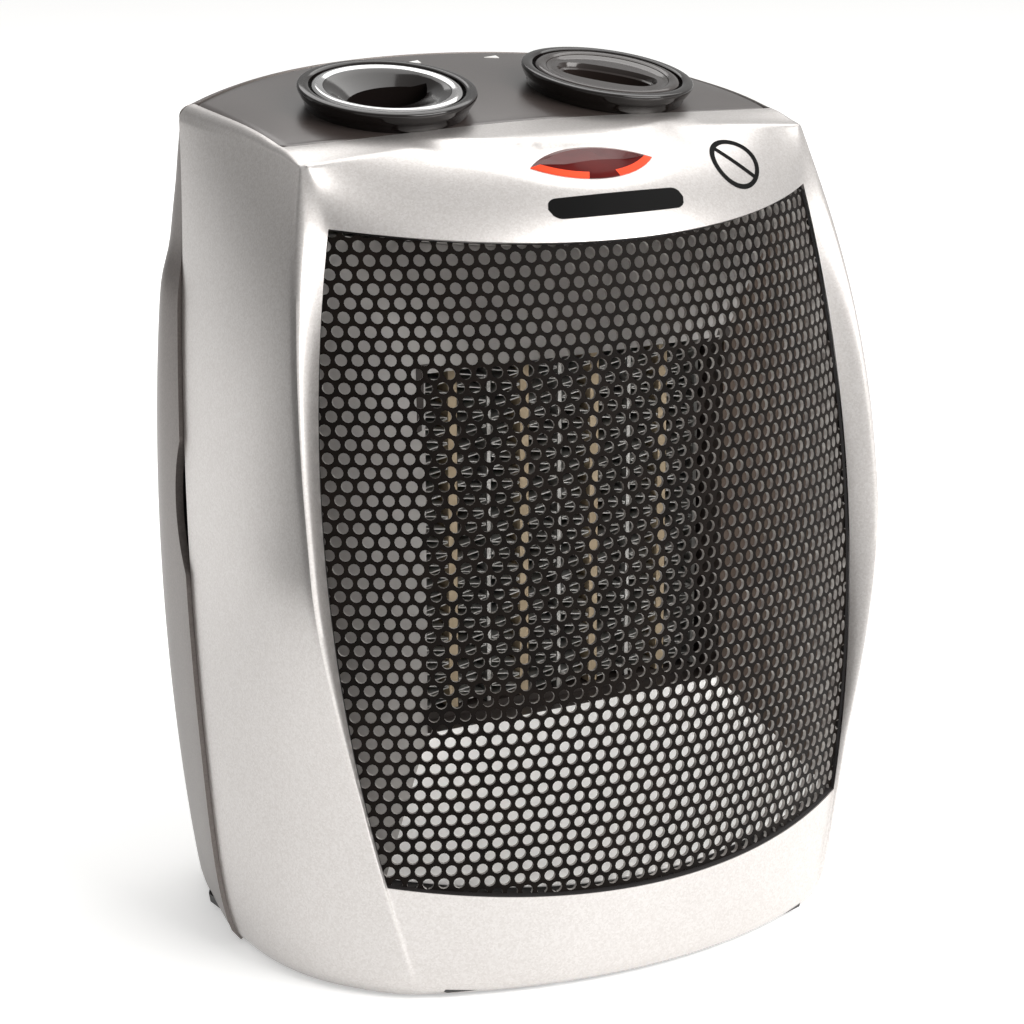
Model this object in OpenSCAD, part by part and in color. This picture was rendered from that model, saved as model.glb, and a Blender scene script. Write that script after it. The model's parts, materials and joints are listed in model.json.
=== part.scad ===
// Ceramic space heater with a bowed perforated grille and two top knobs.
// Millimetres. +Z is up, the front faces -Y, and the origin is under the middle of the base.

/* [Housing] */
// Height of the arched top at its highest point
body_h = 232.3; // [230:0.1:233]
// Widest point of the front shell
front_w = 182; // [180:0.5:184]
// Widest point of the rear shell
rear_w = 186; // [185:0.5:188]
// Distance of the foremost point from the origin
front_reach = 77; // [76.5:0.1:77.5]
// Distance of the rearmost point from the origin
rear_reach = 75.5; // [75:0.1:76]
// Wall thickness of the moulded shells
wall = 2.5; // [2:0.1:3]
// Gap along the seam between the two shells
seam_gap = 0.5; // [0.4:0.1:0.8]

/* [Grille] */
// Widest point of the grille opening
grille_w = 163.8; // [162:0.1:164.5]
// Plan radius of the perforated sheet
grille_r = 137.5; // [137:0.1:140]
// Thickness of the perforated sheet
sheet_t = 1; // [0.8:0.1:1.2]

/* [Heating element] */
// Width of the rectangular outlet in front of the element
outlet_w = 93.4; // [92:0.2:94]
// Height of the same outlet
outlet_h = 97.4; // [96:0.2:98]
// Height of the outlet's middle above the floor
outlet_z = 112; // [111:0.5:113]
// Number of ceramic bars
bar_count = 4; // [4:1:4]
// Distance between two ceramic bars
bar_pitch = 22.1; // [21.8:0.1:22.4]
// Number of fins in one stack
fin_count = 30; // [24:1:32]

/* [Fan] */
// Radius of the fan blades
fan_r = 43; // [41:0.5:44]
// Number of blades
blade_count = 5; // [5:1:7]
// Radius of the motor shaft
shaft_r = 2; // [2:0.1:2]

/* [Controls] */
// Distance of each knob from the middle
knob_x = 34.3; // [33.5:0.1:35]
// Outer radius of the turning part of a knob
knob_r = 20; // [19.5:0.1:20.2]
// Outer radius of the fixed collar
collar_r = 23.6; // [23.4:0.1:24]
// Height of the collar above the panel
collar_h = 5.5; // [5:0.1:6]

/* [Hidden] */
$fn = 96;

eps = 0.01;
lip = 0.3;               // clearance between fitted pieces
shell_z = 1;             // underside of the shells, just above the floor
body_top = 240;          // higher than anything that is trimmed to the top surface

// bowed front: a surface of revolution about a vertical axis, leaning back towards its top
front_r = 175;
lean_r = 610;
lean_z = 50;
brow_r = 250;
brow_lean = 48;
brow_z = 196;
brow_y = -58.5;

// sides
side_r = 700;
side_z = 75;
corner_r = 380;
corner_z = 122;
corner_yaw = 28;
corner_x = 88.9;
corner_y = -49.5;
rear_side_r = 750;
rear_side_z = 110;
rear_corner_r = 650;
rear_corner_z = 115;
rear_corner_yaw = -30;
rear_corner_x = 88;
rear_corner_y = 41.5;

// rear
rear_r = 190;
rear_lean_r = 650;
rear_lean_z = 70;

// top surface: arched both ways, with a flatter band along its front edge
top_long_r = 420;
top_cross_r = 850;
top_apex_y = 86.5;
band_slope = 7;
band_y = -13.5;
band_z = 220.4;

// seam plane between the shells, leaning back with the front
seam_lean = 9.8;
seam_y = -1.5;

// panel
panel_w = 151.2;
panel_front_r = 2000;
panel_front_y = -14.2;
panel_rear_y = 54;
panel_rear_r = 168;
panel_t = 2.5;
panel_hole_r = 18.3;

// grille outline
grille_side_r = 370;
grille_mid_z = 120;
grille_top_z = 195.3;
grille_top_r = 561;
grille_bottom_z = 26.3;
grille_bottom_r = 417;

// air path
outlet_y = -35.5;
element_y = -26;
element_d = 15;
element_h = 93;
bar_t = 2.6;
divider_t = 1.2;
frame_t = 2.4;
duct_back_y = -5.1;
shroud_y = -5;
shroud_d = 36;
fan_y = 6;
fan_d = 20;
motor_y = 36;
stator_d = 16;
stator_w = 56;
stator_h = 56;
rotor_r = 12.6;
air_gap = 0.4;
bearing_r = 5;
running_gap = 0.05;

// controls
knob_y = 6;
knob_slope = asin((top_apex_y - knob_y) / top_long_r);
knob_gap = 0.8;
knob_top_z = collar_h - 0.3;
cup_r = 17.5;
cup_floor = -7;
shaft_control_r = 3;
bracket_z = -20;
bracket_t = 1.5;

// lens
lens_w = 37.2;
lens_h = 11;
lens_z = 210.4;
lens_y = -42.5;
lens_tilt = 90 - brow_lean;

// tip-over switch
tip_x = -44;
tip_y = 8;
plunger_r = 3;

function arc_drop(r, d) = r - sqrt(r * r - d * d);
function top_z(x, y) = body_h - arc_drop(top_long_r, top_apex_y - y) - arc_drop(top_cross_r, x);
function back_radius(z) = rear_r - arc_drop(rear_lean_r, z - rear_lean_z);
function back_y(x, z) = rear_reach - rear_r + sqrt(back_radius(z) * back_radius(z) - x * x);

// ---- forms ----

// solid bounded by the bowed front surface
module bowed_form(plan_r, inset) {
  translate([0, plan_r - front_reach, 0])
    rotate_extrude()
      intersection() {
        translate([plan_r - inset - lean_r, lean_z]) circle(lean_r, $fn = 360);
        translate([0, -20]) square([plan_r, body_top + 40]);
      }
}

// half space behind the sloping brow over the grille
module brow_form(inset) {
  translate([0, brow_y, brow_z])
    rotate([-brow_lean, 0, 0])
      translate([0, brow_r, 0])
        cylinder(h = 420, r = brow_r - inset, center = true, $fn = 360);
}

// space between the two bulging side walls
module side_form(width, bulge_r, bulge_z, inset) {
  intersection_for(side = [-1, 1])
    translate([side * (width / 2 - inset - bulge_r), 0, bulge_z])
      rotate([90, 0, 0])
        cylinder(h = 320, r = bulge_r, center = true, $fn = 360);
}

// yawed bulging cuts across both corners, through (x, y) at height z
module corner_form(x, y, z, yaw, r, inset) {
  intersection_for(side = [0, 1])
    mirror([side, 0, 0])
      translate([x, y, z])
        rotate([0, 0, -yaw])
          translate([-r - inset, 0, 0])
            rotate([90, 0, 0])
              cylinder(h = 420, r = r, center = true, $fn = 360);
}

// solid bounded by the bowed back surface
module back_form(inset) {
  translate([0, rear_reach - rear_r, 0])
    rotate_extrude()
      intersection() {
        translate([rear_r - inset - rear_lean_r, rear_lean_z]) circle(rear_lean_r, $fn = 360);
        translate([0, -20]) square([rear_r + 10, body_top + 40]);
      }
}

// everything below the arched top surface and its flatter front band
module top_form(inset) {
  translate([0, top_apex_y, body_h - top_long_r])
    rotate([0, 90, 0])
      rotate_extrude()
        intersection() {
          translate([top_long_r - inset - top_cross_r, 0]) circle(top_cross_r, $fn = 360);
          translate([0, -150]) square([top_long_r, 300]);
        }
  translate([0, band_y, band_z - inset])
    rotate([band_slope, 0, 0])
      translate([0, 0, -top_cross_r])
        rotate([90, 0, 0])
          cylinder(h = 420, r = top_cross_r, center = true, $fn = 360);
}

// everything in front of the leaning seam, moved back by offset_y
module before_seam(offset_y) {
  translate([0, seam_y + offset_y, 0])
    rotate([-seam_lean, 0, 0])
      translate([-150, -300, -60])
        cube([300, 300, 400]);
}

// slab between two heights
module level(z0, z1) {
  translate([-150, -150, z0]) cube([300, 300, z1 - z0]);
}

module front_solid(inset) {
  intersection() {
    bowed_form(front_r, inset);
    brow_form(inset);
    side_form(front_w, side_r, side_z, inset);
    corner_form(corner_x, corner_y, corner_z, corner_yaw, corner_r, inset);
    top_form(inset);
  }
}

module rear_solid(inset) {
  intersection() {
    back_form(inset);
    side_form(rear_w, rear_side_r, rear_side_z, inset);
    corner_form(rear_corner_x, rear_corner_y, rear_corner_z, rear_corner_yaw, rear_corner_r, inset);
    top_form(inset);
  }
}

// outline of the grille opening, grown by g
module grille_outline(g) {
  half = grille_w / 2 + g;
  difference() {
    intersection() {
      translate([half - grille_side_r, grille_mid_z]) circle(grille_side_r, $fn = 360);
      translate([grille_side_r - half, grille_mid_z]) circle(grille_side_r, $fn = 360);
      translate([0, grille_bottom_z - g + grille_bottom_r]) circle(grille_bottom_r, $fn = 360);
    }
    translate([0, grille_top_z + g + grille_top_r]) circle(grille_top_r, $fn = 360);
  }
}

// the outline as a block through the front
module grille_block(g) {
  translate([0, 20, 0])
    rotate([90, 0, 0])
      linear_extrude(120) grille_outline(g);
}

// plan outline of the dark panel, grown by g
module panel_outline(g) {
  difference() {
    intersection() {
      translate([-panel_w / 2 - g, -40]) square([panel_w + 2 * g, 110]);
      translate([0, panel_rear_y + g - panel_rear_r]) circle(panel_rear_r, $fn = 360);
    }
    translate([0, panel_front_y - g - panel_front_r]) circle(panel_front_r, $fn = 360);
  }
}

// almond outline of the lens, grown by g
module almond(g) {
  w = lens_w / 2 + g;
  h = lens_h / 2 + g;
  r = (w * w + h * h) / (2 * h);
  intersection_for(side = [-1, 1])
    translate([0, side * (r - h)]) circle(r);
}

// places its children on the brow, looking out along its slope
module on_lens_place() {
  translate([0, lens_y, lens_z])
    rotate([lens_tilt, 0, 0])
      children();
}

// places its children square to the arched top
module on_panel(x, y) {
  translate([x, y, top_z(x, y)])
    rotate([asin((top_apex_y - y) / top_long_r), asin(x / top_cross_r), 0])
      children();
}

// places its children square to the panel at a knob, side -1 is the left
module at_knob(side) {
  on_panel(side * knob_x, knob_y) children();
}

module ring(outer, inner, height) {
  difference() {
    cylinder(h = height, r = outer);
    translate([0, 0, -eps]) cylinder(h = height + 2 * eps, r = inner);
  }
}

// ---- housing ----

module front_shell() {
  color([0.83, 0.82, 0.80])
    difference() {
      intersection() {
        front_solid(0);
        before_seam(0);
        level(shell_z, body_top);
      }
      difference() {
        intersection() {
          front_solid(wall);
          level(0, body_top);
        }
        opening_collar();
        base_boss();
        control_shelf();
        shroud_rib();
      }
      base_boss_holes();
      rear_screw_holes();
      grille_block(0);
      translate([0, 0, 150]) linear_extrude(120) panel_outline(0);
      on_lens_place() translate([0, 0, -14]) linear_extrude(30) almond(0.2);
    }
}

// the moulded rim that carries the edge of the grille back to the funnel
module opening_collar() {
  intersection() {
    grille_block(wall);
    bowed_form(front_r, 0);
    translate([-100, -100, 0]) cube([200, 72, 230]);
  }
}

// bosses that the base screws bite into
module base_boss() {
  for (p = base_screw_places)
    translate([p[0], p[1], base_z + base_t + 0.1]) cylinder(h = 11, r = 5);
}

module base_boss_holes() {
  for (p = base_screw_places)
    translate([p[0], p[1], 0]) cylinder(h = 15, r = screw_hole_r);
}

module rear_screw_holes() {
  for (p = rear_screw_places)
    rear_screw_place(p) translate([0, 0, -30]) cylinder(h = 60, r = screw_hole_r);
}

// ledge on each side wall that carries the control bracket and takes an upper rear screw
module control_shelf() {
  shelf_x = 54;
  shelf_t = 8;
  for (side = [0, 1])
    mirror([side, 0, 0])
      translate([0, knob_y, top_z(knob_x, knob_y)])
        rotate([knob_slope, 0, 0])
          translate([shelf_x, -17, bracket_z - 0.1 - shelf_t]) cube([40, 34, shelf_t]);
}

// upright rib on each side wall that the fan shroud's ears lean on
module shroud_rib() {
  for (side = [0, 1])
    mirror([side, 0, 0])
      translate([76, shroud_y - 5.1, outlet_z - 27]) cube([20, 5, 54]);
}

// shadowed finger slot on each side of the seam
module side_slot() {
  slot_z = 119;
  slot_r = 36;
  slot_depth = 3.5;
  translate([0, seam_y + slot_z * tan(seam_lean) + slot_depth - slot_r, slot_z])
    rotate([0, 90, 0])
      cylinder(h = 300, r = slot_r, center = true);
}

module rear_opening_outline(g) {
  intersection() {
    square([146 + 2 * g, 124 + 2 * g], center = true);
    circle(86 + g);
  }
}

module rear_opening_block(g) {
  translate([0, 90, outlet_z])
    rotate([90, 0, 0])
      linear_extrude(60) rear_opening_outline(g);
}

module rear_shell() {
  color([0.62, 0.60, 0.58])
    difference() {
      intersection() {
        rear_solid(0);
        level(shell_z, body_top);
      }
      before_seam(seam_gap);
      difference() {
        intersection() {
          rear_solid(wall);
          level(0, body_top);
        }
        for (p = rear_screw_places)
          rear_screw_place(p) translate([0, 0, -14]) cylinder(h = 16, r = 5.5);
        base_boss();
      }
      base_boss_holes();
      rear_screw_holes();
      translate([0, 0, 150]) linear_extrude(120) panel_outline(0);
      intersection() {
        side_slot();
        before_seam(8);
      }
      rear_opening_block(0);
      gland_place() cylinder(h = 30, r = 6.2, center = true);
      for (p = rear_screw_places)
        rear_screw_place(p) translate([0, 0, -boss_sink]) cylinder(h = 30, r = 3.5);
    }
}

module top_panel() {
  color([0.27, 0.24, 0.23])
    difference() {
      intersection() {
        translate([0, 0, 150]) linear_extrude(120) panel_outline(-lip);
        top_form(0);
      }
      top_form(panel_t);
      for (side = [-1, 1])
        at_knob(side) cylinder(h = 40, r = panel_hole_r, center = true);
    }
}

foot_places = [[-52, -38], [52, -38], [-52, 28], [52, 28]];
base_z = 2;
base_t = 2.5;

// upright posts on the base plate that take the lower rear screws
module base_posts() {
  for (x = [-56, 56])
    translate([x - 5, 38, base_z + base_t - eps]) cube([10, 12, 24]);
}

module base_plate() {
  color([0.16, 0.16, 0.17])
    difference() {
      base_posts();
      rear_screw_holes();
    }
  color([0.16, 0.16, 0.17])
    difference() {
      intersection() {
        union() {
          intersection() {
            front_solid(wall + lip);
            before_seam(0);
          }
          difference() {
            rear_solid(wall + lip);
            before_seam(-eps);
          }
        }
        level(base_z, base_z + base_t);
      }
      for (p = foot_places)
        translate([p[0], p[1], 0]) cylinder(h = 12, r = 3.2);
      for (p = base_screw_places)
        translate([p[0], p[1], 0]) cylinder(h = 12, r = 1.9);
      translate([tip_x, tip_y, 0]) cylinder(h = 12, r = plunger_r + 1);
    }
}

module rubber_feet() {
  color([0.07, 0.07, 0.07])
    for (p = foot_places)
      translate([p[0], p[1], 0]) {
        cylinder(h = base_z, r = 7);
        cylinder(h = base_z + base_t + 2.5, r = 3);
        translate([0, 0, base_z + base_t]) cylinder(h = 1.5, r = 4.2);
      }
}

module front_grille() {
  color([0.05, 0.05, 0.05])
    intersection() {
      difference() {
        bowed_form(grille_r, 0.3);
        bowed_form(grille_r, 0.3 + sheet_t);
      }
      grille_block(-lip);
      translate([-100, -90, 0]) cube([200, 100, 230]);
    }
}

// horizontal slats across the back opening
module rear_grille() {
  slat_pitch = 7;
  slat_gap = 3.4;
  color([0.06, 0.06, 0.06])
    difference() {
      intersection() {
        difference() {
          back_form(-1.2);
          back_form(1.4);
        }
        rear_opening_block(-lip);
      }
      intersection() {
        rear_opening_block(-6);
        for (i = [-7 : 7])
          translate([-90, 40, outlet_z + i * slat_pitch - slat_gap / 2])
            cube([180, 60, slat_gap]);
      }
    }
}

// ---- air path ----

// rectangular section of the funnel at the element
module outlet_slab(grow, y) {
  translate([-outlet_w / 2 - grow, y, outlet_z - outlet_h / 2 - grow])
    cube([outlet_w + 2 * grow, 0.2, outlet_h + 2 * grow]);
}

// rim of the funnel, a slice of the bowed form just behind the sheet and well in front of the outlet
module rim_slab(grow, depth, reach) {
  intersection() {
    difference() {
      bowed_form(grille_r, depth, $fn = 40);
      bowed_form(grille_r, depth + 1, $fn = 40);
    }
    translate([0, outlet_y - 2, 0])
      rotate([90, 0, 0])
        linear_extrude(reach) grille_outline(grow, $fn = 40);
  }
}

module outlet_funnel() {
  color([0.72, 0.71, 0.70])
    difference() {
      hull() {
        outlet_slab(1.2, outlet_y - 0.2);
        rim_slab(-5, 3.5, 80);
      }
      hull() {
        outlet_slab(0, outlet_y + 0.1);
        rim_slab(-6.2, 2, 80);
      }
    }
}

module element_frame() {
  outer_w = outlet_w + 2 * frame_t;
  outer_h = outlet_h + 2 * frame_t;
  depth = duct_back_y - outlet_y;
  color([0.10, 0.09, 0.09])
    difference() {
      translate([-outer_w / 2, outlet_y + 0.05, outlet_z - outer_h / 2])
        cube([outer_w, depth, outer_h]);
      translate([-outlet_w / 2, outlet_y - 1, outlet_z - outlet_h / 2])
        cube([outlet_w, depth + 4, outlet_h]);
    }
}

// dark moulded holders above and below the element
module end_brackets() {
  bracket_h = (outlet_h - element_h) / 2 - 0.1;
  color([0.13, 0.11, 0.10])
    for (side = [-1, 1])
      translate([0, element_y + element_d / 2, outlet_z + side * (element_h / 2 + bracket_h / 2)])
        cube([outlet_w - 0.2, element_d, bracket_h], center = true);
}

function bar_x(i) = (i - (bar_count - 1) / 2) * bar_pitch;

module ceramic_bars() {
  color([0.72, 0.62, 0.48])
    for (i = [0 : bar_count - 1])
      translate([bar_x(i), element_y + element_d / 2, outlet_z])
        cube([bar_t, element_d, element_h - 0.4], center = true);
}

stack_w = (bar_pitch - bar_t - divider_t) / 2 - 0.2;

// one ladder of thin fins between two side strips
module fin_stack() {
  strip_t = 0.5;
  fin_t = 0.5;
  pitch = (element_h - 2) / fin_count;
  for (side = [-1, 1])
    translate([side * (stack_w - strip_t) / 2, 0, 0])
      cube([strip_t, element_d, element_h - 0.4], center = true);
  for (i = [0 : fin_count - 1])
    translate([0, 0, (i - (fin_count - 1) / 2) * pitch])
      cube([stack_w - strip_t, element_d, fin_t], center = true);
}

module heat_fins() {
  color([0.66, 0.66, 0.67])
    for (i = [0 : bar_count - 1])
      for (side = [-1, 1])
        translate([bar_x(i) + side * (bar_t / 2 + 0.1 + stack_w / 2), element_y + element_d / 2, outlet_z])
          fin_stack();
}

module electrode_plates() {
  color([0.60, 0.60, 0.61])
    for (i = [0 : bar_count])
      translate([bar_x(i) - bar_pitch / 2, element_y + element_d / 2, outlet_z])
        cube([divider_t - 0.1, element_d, element_h - 0.4], center = true);
}

module terminal_tabs() {
  color([0.75, 0.68, 0.45])
    for (i = [0 : bar_count])
      translate([bar_x(i) - bar_pitch / 2, element_y + element_d + 3, outlet_z - 30])
        cube([0.8, 5.8, 6.3], center = true);
}

module thermal_cutout() {
  color([0.35, 0.35, 0.37])
    translate([0, -20, outlet_z + outlet_h / 2 + frame_t + 0.1]) {
      cylinder(h = 5, r = 8);
      translate([-12, -3.5, 0]) cube([24, 7, 1]);
      for (side = [-1, 1])
        translate([side * 4.5, 0, 8.4]) cube([0.8, 6, 7], center = true);
    }
}

// square plate with a round throat and four spokes that carry the motor
module fan_shroud() {
  plate_w = outlet_w + 2 * frame_t + 14;
  throat_r = fan_r + 2;
  color([0.09, 0.09, 0.10])
    translate([0, 0, outlet_z])
      rotate([-90, 0, 0]) {
        translate([0, 0, shroud_y])
          difference() {
            union() {
              translate([-plate_w / 2, -plate_w / 2, 0]) cube([plate_w, plate_w, 2.5]);
              translate([-84, -20, 0]) cube([168, 40, 2.5]);
            }
            translate([0, 0, -1]) cylinder(h = 6, r = throat_r);
          }
        translate([0, 0, shroud_y]) ring(throat_r + 2, throat_r, shroud_d);
        for (x = [-22, 22], y = [-15, 15])
          translate([x, y, shroud_y + shroud_d - 3])
            ring(4, 1.7, motor_y - strap_gap - 1.6 - shroud_y - shroud_d + 3);
        for (x = [-1, 1], y = [-1, 1])
          rotate([0, 0, atan2(y * 15, x * 22)])
            translate([30, -3, shroud_y + shroud_d - 3])
              cube([throat_r - 30 + 0.5, 6, 3]);
      }
}

module fan_blade() {
  chord = 26;
  twist = 34;
  difference() {
    translate([11, 0, 0])
      rotate([0, 90, 0])
        linear_extrude(fan_r + 4)
          rotate([0, 0, twist])
            square([1.4, chord], center = true);
    difference() {
      translate([0, 0, -30]) cylinder(h = 60, r = 70);
      translate([0, 0, -31]) cylinder(h = 62, r = fan_r);
    }
  }
}

module fan_impeller() {
  hub_r = 13;
  color([0.12, 0.12, 0.13])
    translate([0, fan_y + fan_d / 2, outlet_z])
      rotate([-90, 0, 0])
        difference() {
          union() {
            translate([0, 0, -9]) cylinder(h = 18, r = hub_r);
            for (i = [0 : blade_count - 1])
              rotate([0, 0, i * 360 / blade_count]) fan_blade();
          }
          translate([0, 0, -10]) cylinder(h = 20, r = shaft_r + 0.02);
        }
}

module motor_axis(y) {
  translate([0, y, outlet_z])
    rotate([-90, 0, 0])
      children();
}

module motor_shaft() {
  color([0.70, 0.71, 0.73])
    motor_axis(fan_y)
      cylinder(h = 53, r = shaft_r);
}

module motor_rotor() {
  color([0.55, 0.56, 0.58])
    motor_axis(motor_y)
      ring(rotor_r, shaft_r + 0.02, stator_d);
}

module motor_stator() {
  color([0.40, 0.40, 0.42])
    motor_axis(motor_y)
      difference() {
        translate([-stator_w / 2, -20, 0]) cube([stator_w, stator_h, stator_d]);
        translate([0, 0, -1]) cylinder(h = stator_d + 2, r = rotor_r + air_gap);
        translate([-18, 18.5, -1]) cube([36, 9, stator_d + 2]);
        for (x = [-22, 22], y = [-15, 15])
          translate([x, y, -1]) cylinder(h = stator_d + 2, r = 1.8);
      }
}

module motor_coil() {
  color([0.62, 0.34, 0.16])
    motor_axis(motor_y - 5)
      difference() {
        translate([-17.5, 19, 0]) cube([35, 22, stator_d + 10]);
        translate([-18, 27.3, 4.8]) cube([36, 9.0, stator_d + 0.4]);
      }
}

// pressed strap that holds one bearing
module motor_strap() {
  difference() {
    union() {
      translate([-26, -4, 0]) cube([52, 8, 1.5]);
      for (x = [-22, 22])
        translate([x - 4, -19, 0]) cube([8, 38, 1.5]);
      cylinder(h = 5, r = bearing_r + 2);
    }
    translate([0, 0, -1]) cylinder(h = 8, r = bearing_r + 0.05);
    for (x = [-22, 22], y = [-15, 15])
      translate([x, y, -1]) cylinder(h = 8, r = 1.8);
  }
}

strap_gap = 0.1;

module front_motor_bracket() {
  color([0.68, 0.69, 0.70])
    motor_axis(motor_y - strap_gap)
      mirror([0, 0, 1]) motor_strap();
}

module rear_motor_bracket() {
  color([0.68, 0.69, 0.70])
    motor_axis(motor_y + stator_d + strap_gap)
      motor_strap();
}

module shaft_bearings() {
  color([0.62, 0.48, 0.30]) {
    motor_axis(motor_y - strap_gap - 5) ring(bearing_r, shaft_r + running_gap, 4.5);
    motor_axis(motor_y + stator_d + strap_gap + 0.5) ring(bearing_r, shaft_r + running_gap, 4.5);
  }
}

module motor_screws() {
  color([0.75, 0.75, 0.77])
    for (x = [-22, 22], z = [-15, 15])
      translate([x, 0, outlet_z + z])
        rotate([-90, 0, 0]) {
          translate([0, 0, motor_y - 8]) cylinder(h = stator_d + 11.4, r = 1.6);
          translate([0, 0, motor_y + stator_d + strap_gap + 1.6]) cylinder(h = 2.2, r = 3.2);
        }
}

// ---- controls ----

module control_bracket() {
  color([0.64, 0.65, 0.66])
    difference() {
      translate([0, knob_y, top_z(knob_x, knob_y)])
        rotate([knob_slope, 0, 0])
          translate([-66, -17, bracket_z]) cube([132, 34, bracket_t]);
      for (side = [-1, 1])
        at_knob(side) cylinder(h = 60, r = 5.6, center = true);
    }
}

module control_bushing() {
  translate([0, 0, bracket_z - 1.7])
    ring(5.2, shaft_control_r + running_gap, 5.2);
}

module thermostat_body() {
  color([0.80, 0.78, 0.72])
    at_knob(-1) {
      control_bushing();
      translate([0, 0, bracket_z - 1.6 - 18])
        difference() {
          cylinder(h = 18, r = 15);
          translate([0, 0, 8]) cylinder(h = 11, r = shaft_control_r + running_gap);
        }
    }
}

module mode_switch_body() {
  color([0.16, 0.16, 0.18])
    at_knob(1) {
      control_bushing();
      translate([0, 0, bracket_z - 1.6 - 20])
        difference() {
          translate([-15, -15, 0]) cube([30, 30, 20]);
          translate([0, 0, 10]) cylinder(h = 11, r = shaft_control_r + running_gap);
        }
    }
}

// round spindle with a flat at its upper end
module spindle(reach) {
  top = cup_floor - 1.6;
  difference() {
    translate([0, 0, bracket_z - 1.6 - reach])
      cylinder(h = top - bracket_z + 1.6 + reach, r = shaft_control_r);
    translate([1.6, -5, cup_floor - 8.2]) cube([5, 10, 12]);
  }
}

module thermostat_shaft() {
  color([0.75, 0.72, 0.62]) at_knob(-1) spindle(9);
}

module mode_switch_shaft() {
  color([0.75, 0.72, 0.62]) at_knob(1) spindle(9);
}

module knob_collars() {
  base_r = 22;
  skirt_h = 3.6;
  color([0.12, 0.11, 0.11])
    for (side = [-1, 1])
      at_knob(side)
        difference() {
          union() {
            translate([0, 0, 0.05]) cylinder(h = skirt_h, r1 = base_r, r2 = collar_r);
            translate([0, 0, 0.05 + skirt_h]) cylinder(h = collar_h - skirt_h, r1 = collar_r, r2 = collar_r - 1.2);
          }
          translate([0, 0, 2]) cylinder(h = 10, r = knob_r + knob_gap);
          translate([0, 0, -1]) cylinder(h = 6, r = panel_hole_r);
        }
}

// eye-shaped finger hollow, long axis along X
module finger_hollow(length, width) {
  r = (length * length + width * width) / (4 * width);
  intersection_for(side = [-1, 1])
    translate([0, side * (r - width / 2)]) circle(r);
}

// turning part: a flanged cup with a finger hollow, and a hub that grips the spindle
module knob_core(length, width, turn) {
  hub_r = 6;
  flange_t = 1.4;
  difference() {
    union() {
      translate([0, 0, knob_top_z - 1.3 - flange_t]) cylinder(h = flange_t, r = knob_r);
      translate([0, 0, cup_floor - 2]) cylinder(h = knob_top_z - 0.2 - cup_floor + 2, r = cup_r - 0.55);
      translate([0, 0, cup_floor - 9]) cylinder(h = 9, r = hub_r);
    }
    translate([0, 0, cup_floor])
      rotate([0, 0, turn])
        linear_extrude(30) finger_hollow(length, width);
    difference() {
      translate([0, 0, cup_floor - 10]) cylinder(h = 8.6, r = shaft_control_r + 0.02);
      translate([1.65, -5, cup_floor - 8]) cube([5, 10, 12]);
    }
  }
}

module thermostat_knob() {
  color([0.16, 0.15, 0.15])
    at_knob(-1) knob_core(30, 17, 15);
}

module mode_knob() {
  color([0.22, 0.19, 0.19])
    at_knob(1) knob_core(30, 17, -41);
}

module thermostat_trim() {
  color([0.86, 0.87, 0.88])
    at_knob(-1) translate([0, 0, knob_top_z - 1.2]) ring(knob_r, 17, 1.2);
}

module mode_trim() {
  color([0.30, 0.26, 0.25])
    at_knob(1) translate([0, 0, knob_top_z - 1.2]) ring(knob_r, 17, 1.2);
}

// printed pointers behind the knobs
module pointer_marks() {
  color([0.95, 0.95, 0.94])
    for (p = [[-4.9, 43.6], [21.2, 44.6]])
      on_panel(p[0], p[1])
        translate([0, 0, 0.02])
          cylinder(h = 0.3, r = 2, $fn = 3);
}

module indicator_lens() {
  color([0.72, 0.10, 0.07])
    on_lens_place()
      translate([0, 0, -5]) {
        linear_extrude(5.4) almond(0);
        translate([0, 0, -1]) linear_extrude(1.2) almond(-1.4);
      }
}

module indicator_lamp() {
  color([0.95, 0.60, 0.45])
    on_lens_place()
      translate([0, 0, -8.7])
        rotate([0, 90, 0])
          cylinder(h = 13, r = 2.6, center = true);
}

// a thin shape on the brow, raised by the given height
module on_brow(height) {
  intersection() {
    difference() {
      brow_form(-height);
      brow_form(0);
    }
    children();
  }
}

// looks straight into the sloping brow at x, and s up the slope
module brow_place(x, s) {
  translate([0, brow_y, brow_z])
    rotate([90 - brow_lean, 0, 0])
      translate([x, s, 0])
        children();
}

module stadium(length, width) {
  for (side = [-1, 1])
    translate([side * (length - width) / 2, 0]) circle(width / 2);
  square([length - width, width], center = true);
}

module front_badge() {
  color([0.10, 0.10, 0.10])
    on_brow(0.6)
      brow_place(0, 8)
        linear_extrude(40, center = true) stadium(40, 6);
}

module ring_mark() {
  color([0.12, 0.12, 0.12])
    on_brow(0.3)
      brow_place(45, 12)
        linear_extrude(60, center = true) {
          difference() {
            circle(6.6);
            circle(5.6);
          }
          square([9, 1.1], center = true);
        }
}

// ---- base and wiring ----

base_screw_places = [[-26, -65.6], [26, -65.6], [-26, 62.6], [26, 62.6]];
rear_screw_places = [[-66, 203.5], [66, 203.5], [-56, 22], [56, 22]];
boss_sink = 3.4;
screw_hole_r = 1.8;

module screw(head_r, head_h, stem_r, stem_h) {
  cylinder(h = head_h, r = head_r);
  translate([0, 0, head_h]) cylinder(h = stem_h, r = stem_r);
}

module base_screws() {
  color([0.70, 0.70, 0.72])
    for (p = base_screw_places)
      translate([p[0], p[1], 0.6]) screw(3, base_z - 0.6, 1.7, 12);
}

module rear_screw_place(p) {
  translate([p[0], back_y(p[0], p[1]), p[1]]) rotate([-90, 0, 0]) children();
}

module rear_screws() {
  color([0.70, 0.70, 0.72])
    for (p = rear_screw_places)
      rear_screw_place(p)
        translate([0, 0, -boss_sink + 2.05])
          mirror([0, 0, 1]) screw(3.2, 2, 1.6, 24);
}

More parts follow.
